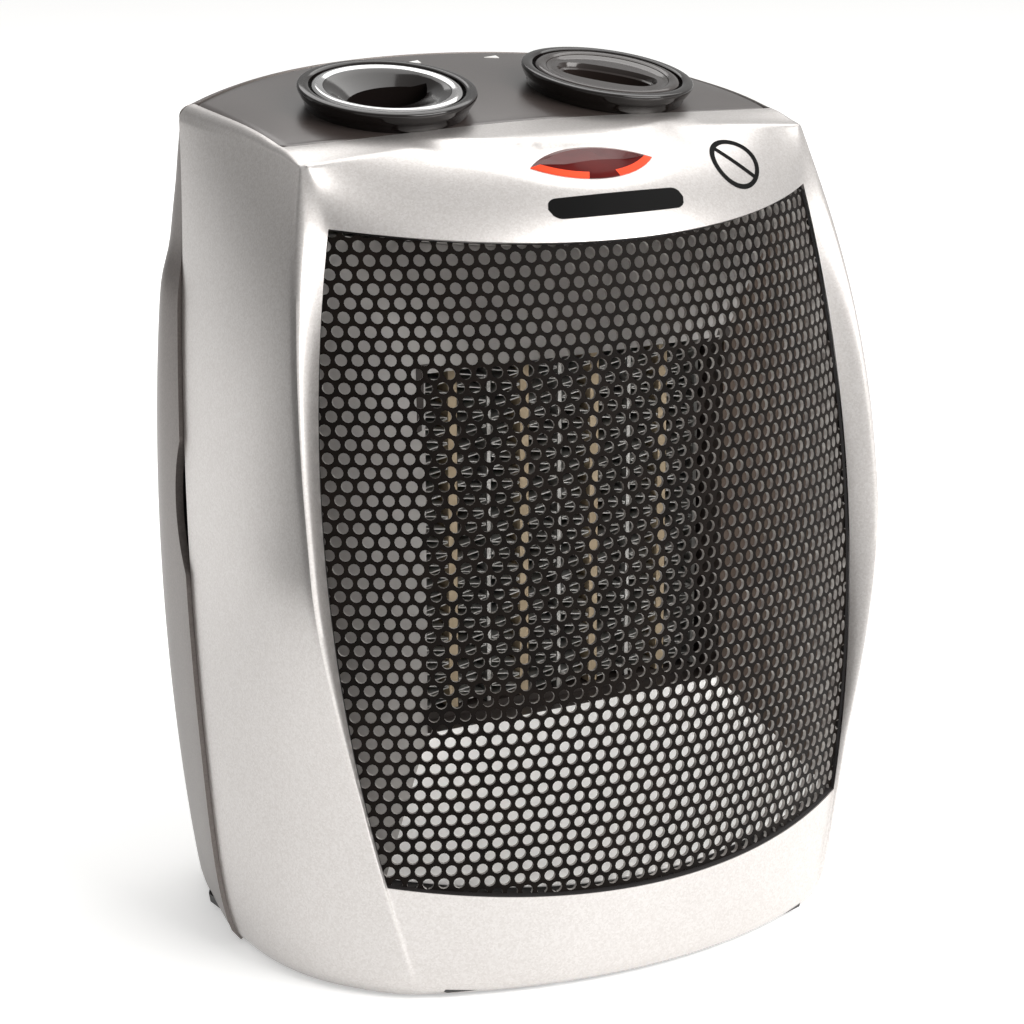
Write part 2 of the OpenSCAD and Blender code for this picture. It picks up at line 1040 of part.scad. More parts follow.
module tip_switch_body() {
  floor_z = base_z + base_t;
  color([0.85, 0.85, 0.83])
    difference() {
      translate([tip_x - 9, tip_y - 6, floor_z + 0.05]) cube([18, 12, 22]);
      translate([tip_x, tip_y, 0]) cylinder(h = floor_z + 16, r = plunger_r + running_gap);
    }
}

module tip_plunger() {
  color([0.88, 0.20, 0.16])
    translate([tip_x, tip_y, 0.05])
      cylinder(h = 15, r = plunger_r);
}

module gland_place() {
  translate([26, back_y(26, 24), 24]) rotate([-90, 0, 0]) children();
}

module cord_gland() {
  color([0.06, 0.06, 0.06])
    gland_place()
      difference() {
        union() {
          translate([0, 0, -8]) cylinder(h = 10, r = 6);
          translate([0, 0, 1.2]) cylinder(h = 1.6, r1 = 8.2, r2 = 7.4);
        }
        translate([0, 0, -9]) cylinder(h = 19, r = 3.4);
      }
}

wire_places = [30, 35.5, 41];
wire_y = 34.5;

module terminal_block() {
  color([0.88, 0.86, 0.78])
    difference() {
      translate([26, wire_y - 7, base_z + base_t + 0.05]) cube([19, 14, 12]);
      for (x = wire_places)
        translate([x, wire_y, base_z + base_t + 3]) cylinder(h = 12, r = 1.6);
    }
}

// quarter bend of insulated wire, turning forward from straight up
module wire_bend(radius, wire_r) {
  rotate([90, 0, 90])
    rotate_extrude(angle = 90)
      translate([radius, 0]) circle(wire_r);
}

// up from the terminal block, past the motor, then forward under the mode switch
module lead_wires() {
  wire_r = 1.3;
  bend_r = 6;
  rise = 158;
  color([0.70, 0.12, 0.10])
    for (x = wire_places)
      translate([x, wire_y, base_z + base_t + 4]) {
        cylinder(h = rise, r = wire_r);
        translate([0, -bend_r, rise]) wire_bend(bend_r, wire_r);
        translate([0, -bend_r, rise + bend_r])
          rotate([90, 0, 0]) cylinder(h = 6, r = wire_r);
      }
}

front_shell();
rear_shell();
top_panel();
base_plate();
rubber_feet();
front_grille();
rear_grille();
outlet_funnel();
element_frame();
end_brackets();
ceramic_bars();
heat_fins();
electrode_plates();
terminal_tabs();
thermal_cutout();
fan_shroud();
fan_impeller();
motor_shaft();
motor_rotor();
motor_stator();
motor_coil();
front_motor_bracket();
rear_motor_bracket();
shaft_bearings();
control_bracket();
thermostat_body();
thermostat_shaft();
mode_switch_body();
mode_switch_shaft();
knob_collars();
thermostat_knob();
thermostat_trim();
mode_knob();
mode_trim();
pointer_marks();
indicator_lens();
indicator_lamp();
front_badge();
ring_mark();
tip_switch_body();
tip_plunger();
cord_gland();
terminal_block();
lead_wires();
base_screws();
rear_screws();
motor_screws();
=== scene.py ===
"""Visual model of a ceramic space heater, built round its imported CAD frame.

Sizes in the classes are millimetres in the part's frame: +Z is up and the front faces -Y.
Meshes are scaled to metres when they are made.
"""

from __future__ import annotations

import json
import logging
import math
from dataclasses import dataclass, field
from enum import Enum
from typing import Callable, Iterable, Sequence

import bmesh
import bpy
import numpy as np
from mathutils import Vector
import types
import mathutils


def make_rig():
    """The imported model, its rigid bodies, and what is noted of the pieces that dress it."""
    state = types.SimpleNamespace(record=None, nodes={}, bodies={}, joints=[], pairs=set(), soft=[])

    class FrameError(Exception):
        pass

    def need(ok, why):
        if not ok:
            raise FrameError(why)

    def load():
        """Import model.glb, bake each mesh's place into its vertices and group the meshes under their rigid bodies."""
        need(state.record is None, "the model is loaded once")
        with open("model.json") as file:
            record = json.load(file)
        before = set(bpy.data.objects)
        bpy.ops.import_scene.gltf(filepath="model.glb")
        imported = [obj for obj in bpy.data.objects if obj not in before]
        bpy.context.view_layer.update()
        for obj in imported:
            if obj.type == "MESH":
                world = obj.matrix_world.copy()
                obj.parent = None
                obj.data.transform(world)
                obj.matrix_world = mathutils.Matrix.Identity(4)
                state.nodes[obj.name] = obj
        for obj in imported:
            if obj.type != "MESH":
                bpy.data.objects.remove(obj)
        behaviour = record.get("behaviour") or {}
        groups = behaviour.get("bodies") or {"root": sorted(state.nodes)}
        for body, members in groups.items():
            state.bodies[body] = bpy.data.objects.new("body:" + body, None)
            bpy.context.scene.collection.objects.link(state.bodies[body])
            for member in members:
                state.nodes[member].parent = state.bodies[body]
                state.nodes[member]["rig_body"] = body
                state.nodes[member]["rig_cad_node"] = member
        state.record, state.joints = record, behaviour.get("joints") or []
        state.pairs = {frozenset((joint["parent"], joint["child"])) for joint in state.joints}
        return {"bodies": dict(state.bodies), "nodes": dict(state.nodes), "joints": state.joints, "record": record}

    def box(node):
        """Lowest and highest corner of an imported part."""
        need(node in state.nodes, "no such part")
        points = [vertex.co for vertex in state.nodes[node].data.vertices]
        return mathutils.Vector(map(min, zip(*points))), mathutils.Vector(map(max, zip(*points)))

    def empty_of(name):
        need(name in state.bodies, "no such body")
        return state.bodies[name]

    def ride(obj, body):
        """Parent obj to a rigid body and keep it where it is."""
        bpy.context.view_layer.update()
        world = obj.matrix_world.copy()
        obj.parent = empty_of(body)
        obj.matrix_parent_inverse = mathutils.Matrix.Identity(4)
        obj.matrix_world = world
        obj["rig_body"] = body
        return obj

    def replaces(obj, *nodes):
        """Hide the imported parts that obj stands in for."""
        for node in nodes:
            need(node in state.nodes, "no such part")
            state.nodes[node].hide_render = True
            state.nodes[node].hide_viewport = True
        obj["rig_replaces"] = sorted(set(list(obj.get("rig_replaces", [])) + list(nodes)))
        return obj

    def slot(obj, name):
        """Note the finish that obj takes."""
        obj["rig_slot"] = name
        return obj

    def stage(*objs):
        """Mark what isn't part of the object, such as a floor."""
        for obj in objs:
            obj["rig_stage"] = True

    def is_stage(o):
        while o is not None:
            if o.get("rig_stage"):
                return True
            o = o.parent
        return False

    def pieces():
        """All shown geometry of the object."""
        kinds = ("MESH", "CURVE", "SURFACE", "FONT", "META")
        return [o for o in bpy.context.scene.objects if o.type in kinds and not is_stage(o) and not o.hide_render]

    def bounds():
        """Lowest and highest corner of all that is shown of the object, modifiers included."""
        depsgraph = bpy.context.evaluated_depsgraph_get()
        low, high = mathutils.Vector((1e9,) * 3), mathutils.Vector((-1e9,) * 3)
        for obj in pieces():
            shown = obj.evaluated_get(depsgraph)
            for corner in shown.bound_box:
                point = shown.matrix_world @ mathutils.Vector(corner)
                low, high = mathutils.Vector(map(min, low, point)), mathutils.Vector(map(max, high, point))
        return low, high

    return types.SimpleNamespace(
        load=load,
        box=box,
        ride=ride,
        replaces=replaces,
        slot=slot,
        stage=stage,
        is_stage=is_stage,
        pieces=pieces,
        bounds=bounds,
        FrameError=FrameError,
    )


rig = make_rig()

LOG = logging.getLogger("heater")
MM = 0.001
FLECKS_PER_METRE = 2200.0
DUST_HEIGHT = 14
Point = tuple[float, float, float]
Colour = tuple[float, float, float]
Value = float | np.ndarray
DUST: Colour = (0.30, 0.28, 0.26)


# ---------------------------------------------------------------- node graphs


class Wire:
    """An output socket of a node, with arithmetic that adds Math nodes to its graph."""

    def __init__(self, graph: "Graph", socket: bpy.types.NodeSocket) -> None:
        """Keeps the graph and the socket that the wire starts from."""
        self.graph = graph
        self.socket = socket

    def math(self, operation: str, *others: "Wire | float") -> "Wire":
        """Adds one Math node.

        Args:
            operation: the node's operation, such as MULTIPLY.
            others: the operands after this one.

        Returns:
            The node's result.
        """
        operands = dict(enumerate((self, *others)))
        return self.graph.add("ShaderNodeMath", {"operation": operation}, operands)

    def __add__(self, other: "Wire | float") -> "Wire":
        """Sum."""
        return self.math("ADD", other)

    __radd__ = __add__

    def __sub__(self, other: "Wire | float") -> "Wire":
        """Difference."""
        return self.math("SUBTRACT", other)

    def __rsub__(self, other: float) -> "Wire":
        """Difference from a number, as in 1 - mask."""
        return (self * -1.0).math("ADD", other)

    def __mul__(self, other: "Wire | float") -> "Wire":
        """Product."""
        return self.math("MULTIPLY", other)

    __rmul__ = __mul__

    def __truediv__(self, other: "Wire | float") -> "Wire":
        """Quotient."""
        return self.math("DIVIDE", other)

    def minimum(self, other: "Wire | float") -> "Wire":
        """The smaller of two values."""
        return self.math("MINIMUM", other)

    def maximum(self, other: "Wire | float") -> "Wire":
        """The larger of two values."""
        return self.math("MAXIMUM", other)

    def root(self) -> "Wire":
        """Square root."""
        return self.math("SQRT")

    def less(self, other: "Wire | float") -> "Wire":
        """One where this value is below the other, else nought."""
        return self.math("LESS_THAN", other)


class Graph:
    """A shader or geometry node tree that is built in code."""

    def __init__(self, tree: bpy.types.NodeTree) -> None:
        """Keeps the tree that nodes are added to."""
        self.tree = tree

    def add(
        self,
        kind: str,
        settings: dict | None = None,
        inputs: dict | None = None,
        out: str | int = 0,
    ) -> Wire:
        """Adds one node.

        Args:
            kind: the node's type name.
            settings: properties that are set first, and a ramp's stops under "stops".
            inputs: socket name or number to a value, a Wire, or a list of Wires that share the socket.
            out: the output that is wanted.

        Returns:
            That output.
        """
        node = self.tree.nodes.new(kind)
        for name, value in (settings or {}).items():
            if name == "stops":
                self._set_stops(node.color_ramp, value)
            else:
                setattr(node, name, value)
        for key, value in (inputs or {}).items():
            for item in value if isinstance(value, list) else [value]:
                if isinstance(item, Wire):
                    self.tree.links.new(item.socket, node.inputs[key])
                else:
                    node.inputs[key].default_value = item
        return Wire(self, node.outputs[out]) if len(node.outputs) else Wire(self, None)

    @staticmethod
    def _set_stops(ramp: bpy.types.ColorRamp, stops: Sequence[tuple[float, float]]) -> None:
        """Gives a colour ramp its grey stops, as (place, value) pairs.

        Args:
            ramp: the ramp.
            stops: its stops, from left to right.
        """
        while len(ramp.elements) < len(stops):
            ramp.elements.new(0.5)
        for element, (place, value) in zip(ramp.elements, stops):
            element.position = place
            element.color = (value, value, value, 1.0)

    def side(self, wire: Wire, out: str) -> Wire:
        """Another output of the node that a wire comes from."""
        return Wire(self, wire.socket.node.outputs[out])


# ---------------------------------------------------------------- finishes


class Grain(Enum):
    """How a finish's fine texture runs."""

    SPECKLE = (1.0, 1.0, 1.0)
    BRUSHED_X = (0.03, 1.0, 1.0)
    BRUSHED_Z = (1.0, 1.0, 0.03)
    ROLLED_Y = (1.0, 0.04, 1.0)


@dataclass(frozen=True)
class Finish:
    """A procedural surface: a colour that drifts to a second one, fine grain and soft smudges.

    The grain and drift sizes are in millimetres, and bump_mm is the height of the grain.
    """

    name: str
    colour: Colour
    drift: Colour
    roughness: float
    metallic: float = 0.0
    grain: Grain = Grain.SPECKLE
    grain_mm: float = 0.5
    bump_mm: float = 0.02
    drift_mm: float = 30.0
    fleck: float = 0.0
    smudge: float = 0.06
    coat: float = 0.0
    coat_roughness: float = 0.1
    glow: Colour | None = None
    glow_strength: float = 0.0
    foot_dust: float = 0.0
    specular: float = 0.5

    def build(self) -> bpy.types.Material:
        """Makes the Blender material, once for each finish.

        Returns:
            The material, taken from the file if it was made before.
        """
        made = bpy.data.materials.get(self.name)
        if made:
            return made
        material = bpy.data.materials.new(self.name)
        material.use_nodes = True
        material.node_tree.nodes.clear()
        graph = Graph(material.node_tree)
        place = graph.add("ShaderNodeTexCoord", out="Object")
        grain_place = graph.add(
            "ShaderNodeMapping", inputs={"Vector": place, "Scale": self.grain.value}
        )
        grain = graph.add(
            "ShaderNodeTexNoise",
            inputs={"Vector": grain_place, "Scale": 1 / (self.grain_mm * MM), "Detail": 3.0},
        )
        clouds = graph.add(
            "ShaderNodeTexNoise",
            inputs={"Vector": place, "Scale": 1 / (self.drift_mm * MM), "Detail": 2.0},
        )
        spread = graph.add(
            "ShaderNodeValToRGB",
            {"stops": ((0.32, 0.0), (0.68, 1.0))},
            {0: clouds},
        )
        base = graph.add(
            "ShaderNodeMix",
            {"data_type": "RGBA"},
            {"Factor": spread, 6: (*self.colour, 1.0), 7: (*self.drift, 1.0)},
            out=2,
        )
        if self.fleck:
            base = self._flecks(graph, place, base)
        if self.foot_dust:
            base = self._dust(graph, place, base)
        rough = self.roughness + (grain - 0.5) * self.smudge + (clouds - 0.5) * self.smudge
        bump = graph.add(
            "ShaderNodeBump",
            inputs={"Height": grain, "Strength": 0.6, "Distance": self.bump_mm * MM},
        )
        settings: dict = {
            "Base Color": base,
            "Roughness": rough.maximum(0.02).minimum(1.0),
            "Metallic": self.metallic,
            "Coat Weight": self.coat,
            "Coat Roughness": self.coat_roughness,
            "Specular IOR Level": self.specular,
            "Normal": bump,
        }
        if self.glow:
            settings["Emission Color"] = (*self.glow, 1.0)
            settings["Emission Strength"] = self.glow_strength
        shader = graph.add("ShaderNodeBsdfPrincipled", inputs=settings)
        graph.add("ShaderNodeOutputMaterial", inputs={"Surface": shader})
        material.diffuse_color = (*self.colour, 1.0)
        return material

    def _flecks(self, graph: Graph, place: Wire, base: Wire) -> Wire:
        """Lightens small metallic flakes in a paint.

        Args:
            graph: the material's graph.
            place: object coordinates.
            base: the colour so far.

        Returns:
            The colour with flecks.
        """
        cells = graph.add(
            "ShaderNodeTexVoronoi", inputs={"Vector": place, "Scale": FLECKS_PER_METRE}, out="Color"
        )
        flake = graph.add("ShaderNodeSeparateColor", inputs={0: cells})
        grey = graph.add("ShaderNodeCombineColor", inputs={0: flake, 1: flake, 2: flake})
        return graph.add(
            "ShaderNodeMix",
            {"data_type": "RGBA", "blend_type": "OVERLAY"},
            {"Factor": self.fleck, 6: base, 7: grey},
            out=2,
        )

    def _dust(self, graph: Graph, place: Wire, base: Wire) -> Wire:
        """Greys the colour a little close to the floor.

        Args:
            graph: the material's graph.
            place: object coordinates.
            base: the colour so far.

        Returns:
            The colour with dust.
        """
        height = graph.side(graph.add("ShaderNodeSeparateXYZ", inputs={0: place}), "Z")
        low = (1.0 - height / (DUST_HEIGHT * MM)).maximum(0.0) * self.foot_dust
        return graph.add(
            "ShaderNodeMix",
            {"data_type": "RGBA"},
            {"Factor": low, 6: base, 7: (*DUST, 1.0)},
            out=2,
        )


class Palette:
    """Every finish of the heater, under the name of the record's material slot it serves."""

    silver_front = Finish(
        "silver_paint", (0.60, 0.575, 0.56), (0.57, 0.545, 0.53), 0.33, 0.82, fleck=0.10,
        grain_mm=0.35, bump_mm=0.004, drift_mm=60, smudge=0.05, coat=0.12, coat_roughness=0.25,
        foot_dust=0.12,
    )
    grey_rear = Finish(
        "grey_paint", (0.185, 0.163, 0.152), (0.168, 0.147, 0.137), 0.38, 0.55, fleck=0.10,
        grain_mm=0.35, bump_mm=0.005, drift_mm=60, smudge=0.05, coat=0.08, coat_roughness=0.3,
        foot_dust=0.2,
    )
    charcoal_panel = Finish(
        "charcoal_satin", (0.055, 0.043, 0.039), (0.046, 0.037, 0.034), 0.30, 0.15,
        grain_mm=0.4, bump_mm=0.006, drift_mm=40, coat=0.25, coat_roughness=0.22,
    )
    black_plastic = Finish(
        "black_moulding", (0.022, 0.021, 0.021), (0.03, 0.028, 0.027), 0.48, grain_mm=0.6, bump_mm=0.03,
    )
    black_gloss = Finish(
        "piano_black", (0.009, 0.007, 0.006), (0.007, 0.005, 0.005), 0.12,
        grain_mm=1.6, bump_mm=0.002, smudge=0.03, coat=0.1, coat_roughness=0.06, specular=0.32,
    )
    knob_brown = Finish(
        "brown_gloss", (0.026, 0.019, 0.017), (0.021, 0.015, 0.013), 0.16, 0.1,
        grain_mm=1.4, bump_mm=0.002, smudge=0.03, coat=0.15, coat_roughness=0.08, specular=0.4,
    )
    grille_paint = Finish(
        "grille_powder_coat", (0.004, 0.003, 0.0025), (0.007, 0.005, 0.004), 0.48,
        grain_mm=0.25, bump_mm=0.01, drift_mm=12, specular=0.05,
    )
    funnel_metal = Finish(
        "rolled_aluminium", (0.50, 0.485, 0.47), (0.42, 0.405, 0.39), 0.34, 0.75, Grain.ROLLED_Y,
        grain_mm=0.5, bump_mm=0.012, drift_mm=18, smudge=0.16,
    )
    # Painted light: a pale copy of the funnel's aluminium with a faint glow, for the bottom wall where light from
    # above falls.
    funnel_bright = Finish(
        "sunlit_aluminium", (0.93, 0.92, 0.90), (0.88, 0.87, 0.85), 0.42, 0.25, Grain.ROLLED_Y,
        grain_mm=0.5, bump_mm=0.008, drift_mm=18, glow=(1.0, 0.98, 0.95), glow_strength=0.16,
    )
    # Painted shade: a dark brown copy of the funnel's aluminium for the right wall, standing for the shade and dark
    # reflection it takes.
    funnel_shade = Finish(
        "shaded_aluminium", (0.15, 0.115, 0.095), (0.10, 0.075, 0.06), 0.30, 0.85, Grain.ROLLED_Y,
        grain_mm=0.5, bump_mm=0.012, drift_mm=18,
    )
    fin_aluminium = Finish(
        "fin_stock", (0.58, 0.57, 0.55), (0.36, 0.35, 0.33), 0.36, 0.7, Grain.BRUSHED_X,
        grain_mm=0.4, bump_mm=0.01, drift_mm=6,
    )
    ptc_ceramic = Finish(
        "tan_ceramic", (0.50, 0.40, 0.27), (0.40, 0.31, 0.20), 0.72, grain_mm=0.5, bump_mm=0.05, drift_mm=5,
    )
    steel_bright = Finish(
        "zinc_plate", (0.55, 0.55, 0.56), (0.46, 0.46, 0.47), 0.3, 0.95,
        grain_mm=0.5, bump_mm=0.01, drift_mm=5,
    )
    steel_dark = Finish(
        "lamination_steel", (0.13, 0.13, 0.135), (0.18, 0.16, 0.14), 0.45, 0.8, Grain.BRUSHED_X,
        grain_mm=0.5, bump_mm=0.04, drift_mm=8,
    )
    copper_coil = Finish(
        "enamelled_copper", (0.48, 0.19, 0.08), (0.36, 0.13, 0.05), 0.3, 0.9, Grain.BRUSHED_X,
        grain_mm=0.3, bump_mm=0.08, drift_mm=6, coat=0.4,
    )
    bronze_bush = Finish(
        "sintered_bronze", (0.42, 0.29, 0.14), (0.34, 0.23, 0.11), 0.5, 0.9,
        grain_mm=0.2, bump_mm=0.02, drift_mm=3,
    )
    brass_tab = Finish(
        "tinned_brass", (0.58, 0.50, 0.30), (0.50, 0.42, 0.24), 0.32, 0.9,
        grain_mm=0.4, bump_mm=0.01, drift_mm=4,
    )
    chrome_trim = Finish(
        "chrome_plate", (0.66, 0.66, 0.66), (0.60, 0.59, 0.59), 0.10, 1.0,
        grain_mm=2.0, bump_mm=0.003, smudge=0.04,
    )
    red_lens = Finish(
        "red_acrylic", (0.075, 0.006, 0.005), (0.050, 0.004, 0.004), 0.16, grain_mm=3.0, bump_mm=0.002,
        coat_roughness=0.05, drift_mm=8, glow=(0.22, 0.008, 0.006), glow_strength=0.10, specular=0.10,
    )
    lamp_glass = Finish(
        "clear_lamp_glass", (0.85, 0.55, 0.42), (0.80, 0.48, 0.36), 0.12,
        grain_mm=1.5, bump_mm=0.002, coat=0.8,
    )
    white_print = Finish(
        "marker_ink", (0.86, 0.85, 0.83), (0.80, 0.79, 0.77), 0.5, grain_mm=0.3, bump_mm=0.004,
    )
    dark_print = Finish(
        "badge_ink", (0.004, 0.004, 0.004), (0.006, 0.006, 0.006), 0.55, grain_mm=0.3, bump_mm=0.004,
        specular=0.04,
    )
    rubber_black = Finish(
        "soft_rubber", (0.018, 0.018, 0.018), (0.03, 0.029, 0.028), 0.8,
        grain_mm=0.8, bump_mm=0.06, foot_dust=0.5,
    )
    nylon_white = Finish(
        "natural_nylon", (0.62, 0.60, 0.54), (0.56, 0.53, 0.46), 0.45, grain_mm=0.7, bump_mm=0.02,
    )
    bakelite = Finish(
        "dark_phenolic", (0.030, 0.024, 0.021), (0.045, 0.035, 0.03), 0.42,
        grain_mm=0.5, bump_mm=0.03, drift_mm=9,
    )
    plunger_red = Finish(
        "red_acetal", (0.50, 0.035, 0.025), (0.42, 0.03, 0.02), 0.4, grain_mm=0.6, bump_mm=0.015,
    )
    wire_red = Finish(
        "silicone_sleeve", (0.42, 0.03, 0.025), (0.36, 0.03, 0.02), 0.55, grain_mm=0.5, bump_mm=0.02,
    )
    rim_black = Finish(
        "rim_black", (0.008, 0.007, 0.007), (0.012, 0.010, 0.010), 0.5,
        grain_mm=0.6, bump_mm=0.01, specular=0.25,
    )
    punched_edge = Finish(
        "punched_edge", (0.52, 0.50, 0.48), (0.22, 0.20, 0.19), 0.40, 0.3,
        grain_mm=0.3, bump_mm=0.01, drift_mm=3,
    )
    lens_edge = Finish(
        "lit_lens_edge", (0.62, 0.06, 0.025), (0.50, 0.04, 0.02), 0.16, grain_mm=3.0, bump_mm=0.002,
        glow=(1.0, 0.09, 0.03), glow_strength=0.50, specular=0.10,
    )
    flag_cloth = Finish(
        "flag_cloth", (0.02, 0.02, 0.02), (0.025, 0.025, 0.025), 0.95,
        grain_mm=2.0, bump_mm=0.05, drift_mm=60,
    )
    pale_floor = Finish(
        "studio_floor", (0.90, 0.90, 0.895), (0.89, 0.89, 0.885), 0.7,
        grain_mm=3.0, bump_mm=0.01, drift_mm=400,
        glow=(1.0, 1.0, 0.995), glow_strength=0.42,
    )


# ---------------------------------------------------------------- meshes


def arc_drop(radius: float, distance: Value) -> Value:
    """How far a circle falls away from its tangent at a distance along it."""
    return radius - np.sqrt(radius * radius - np.asarray(distance, float) ** 2)


def mix(a: Value, b: Value, t: Value) -> Value:
    """Blend from a to b by t."""
    return a + (b - a) * t


def smooth(t: Value) -> Value:
    """Smooth step of t, held between nought and one."""
    t = np.clip(t, 0.0, 1.0)
    return t * t * (3 - 2 * t)


class Sheet:
    """Collects grids of points as one mesh, welded where they meet."""

    def __init__(self) -> None:
        """Starts with nothing."""
        self.verts: list[Sequence[float]] = []
        self.faces: list[tuple[int, ...]] = []
        self.marks: list[int] = []

    def grid(
        self,
        rows: np.ndarray,
        wrap: bool = False,
        keep: Callable[[np.ndarray], bool] | None = None,
        mark: int = 0,
    ) -> None:
        """Adds a grid of quads.

        Args:
            rows: points, as rows x columns x 3.
            wrap: True if the last column joins the first.
            keep: a test of a quad's middle; a quad that fails it is left out.
            mark: the material number of its faces.
        """
        count, wide = rows.shape[:2]
        start = len(self.verts)
        self.verts.extend(map(tuple, rows.reshape(-1, 3)))
        for i in range(count - 1):
            for j in range(wide if wrap else wide - 1):
                k = (j + 1) % wide
                quad = (start + i * wide + j, start + i * wide + k,
                        start + (i + 1) * wide + k, start + (i + 1) * wide + j)
                if keep is None or keep(np.mean([self.verts[q] for q in quad], axis=0)):
                    self.faces.append(quad)
                    self.marks.append(mark)

    def face(self, points: Sequence[Sequence[float]], mark: int = 0) -> None:
        """Adds one flat face through the points.

        Args:
            points: its corners in order.
            mark: its material number.
        """
        start = len(self.verts)
        self.verts.extend(tuple(p) for p in points)
        self.faces.append(tuple(range(start, start + len(points))))
        self.marks.append(mark)

    def mesh(self, name: str, weld: float = 0.02) -> bmesh.types.BMesh:
        """Welds the grids.

        Args:
            name: not used by the mesh itself, only by the log.
            weld: the distance within which points are one.

        Returns:
            The mesh, still in millimetres.
        """
        bm = bmesh.new()
        made = [bm.verts.new(v) for v in self.verts]
        for face, mark in zip(self.faces, self.marks):
            try:
                bm.faces.new([made[i] for i in face]).material_index = mark
            except ValueError:
                LOG.warning("%s: a face was there already", name)
        bmesh.ops.remove_doubles(bm, verts=bm.verts, dist=weld)
        bmesh.ops.dissolve_degenerate(bm, edges=bm.edges, dist=weld / 10)
        loose = [v for v in bm.verts if not v.link_faces]
        bmesh.ops.delete(bm, geom=loose, context="VERTS")
        return bm


def relax(bm: bmesh.types.BMesh, times: int, where: Callable[[Vector], bool] | None = None) -> None:
    """Rounds creases by moving inner points towards their neighbours.

    Args:
        bm: the mesh.
        times: how often.
        where: a test of a point, or None for all of them.
    """
    inner = [v for v in bm.verts if not v.is_boundary and (where is None or where(v.co))]
    for _ in range(times):
        bmesh.ops.smooth_vert(
            bm, verts=inner, factor=0.5, use_axis_x=True, use_axis_y=True, use_axis_z=True
        )


def inner_wall(thick: float) -> tuple[str, dict]:
    """The modifier that gives a sheet its wall on the inside, with its settings."""
    return "SOLIDIFY", {"thickness": thick * MM, "offset": -1.0, "use_even_offset": False}


def face_out(bm: bmesh.types.BMesh, centre: Sequence[float]) -> None:
    """Turns a sheet's faces so that most of them look away from a point.

    Args:
        bm: the mesh.
        centre: the point, on the mesh's inner side.
    """
    bmesh.ops.recalc_face_normals(bm, faces=bm.faces)
    bm.normal_update()
    middle = Vector(centre)
    vote = sum(f.normal.dot(f.calc_center_median() - middle) * f.calc_area() for f in bm.faces)
    if vote < 0:
        bmesh.ops.reverse_faces(bm, faces=bm.faces)


def to_object(name: str, bm: bmesh.types.BMesh) -> bpy.types.Object:
    """Puts a mesh in the scene as an object.

    Args:
        name: the object's name.
        bm: its mesh in millimetres, which is used up.

    Returns:
        The object, in metres.
    """
    bmesh.ops.scale(bm, vec=(MM, MM, MM), verts=bm.verts)
    mesh = bpy.data.meshes.new(name)
    bm.to_mesh(mesh)
    bm.free()
    obj = bpy.data.objects.new(name, mesh)
    bpy.context.scene.collection.objects.link(obj)
    return obj


@dataclass
class Maker:
    """Turns meshes into finished pieces that ride on a body of the frame."""

    body: str = "housing"
    made: list[bpy.types.Object] = field(default_factory=list)

    def piece(
        self,
        name: str,
        bm: bmesh.types.BMesh,
        finishes: Sequence[Finish],
        slot: str,
        replaces: Iterable[str] = (),
        body: str | None = None,
        sharp: float = 32.0,
        modifiers: Sequence[tuple[str, dict]] = (),
    ) -> bpy.types.Object:
        """Makes a piece.

        Args:
            name: the piece's name.
            bm: its mesh in millimetres, which is used up.
            finishes: the finish of each material number.
            slot: the record's material slot.
            replaces: CAD nodes that it stands for.
            body: the body it rides on, or None for this maker's.
            sharp: the angle in degrees past which an edge stays sharp.
            modifiers: modifier types with their settings, applied in order.

        Returns:
            The piece.
        """
        obj = to_object(name, bm)
        for finish in finishes:
            obj.data.materials.append(finish.build())
        for kind, settings in modifiers:
            modifier = obj.modifiers.new(kind.title(), kind)
            for key, value in settings.items():
                setattr(modifier, key, value)
        if modifiers:
            self.apply(obj)
        return self.finish(obj, slot, replaces, body, sharp)

    @staticmethod
    def apply(obj: bpy.types.Object) -> None:
        """Makes an object's evaluated shape its own mesh and drops its modifiers.

        Args:
            obj: the object.
        """
        graph = bpy.context.evaluated_depsgraph_get()
        graph.update()
        mesh = bpy.data.meshes.new_from_object(obj.evaluated_get(graph))
        obj.modifiers.clear()
        obj.data = mesh

    def finish(
        self,
        obj: bpy.types.Object,
        slot: str,
        replaces: Iterable[str] = (),
        body: str | None = None,
        sharp: float = 32.0,
    ) -> bpy.types.Object:
        """Shades an object, puts it on its body and reports it.

        Args:
            obj: the object.
            slot: the record's material slot.
            replaces: CAD nodes that it stands for.
            body: the body it rides on, or None for this maker's.
            sharp: the angle in degrees past which an edge stays sharp.

        Returns:
            The same object.
        """
        mesh = obj.data
        mesh.polygons.foreach_set("use_smooth", [True] * len(mesh.polygons))
        mesh.set_sharp_from_angle(angle=math.radians(sharp))
        mesh.update()
        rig.ride(obj, body or self.body)
        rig.slot(obj, slot)
        if replaces:
            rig.replaces(obj, *replaces)
        self.made.append(obj)
        LOG.info("%s: %d faces", obj.name, len(mesh.polygons))
        return obj


# ---------------------------------------------------------------- shared form


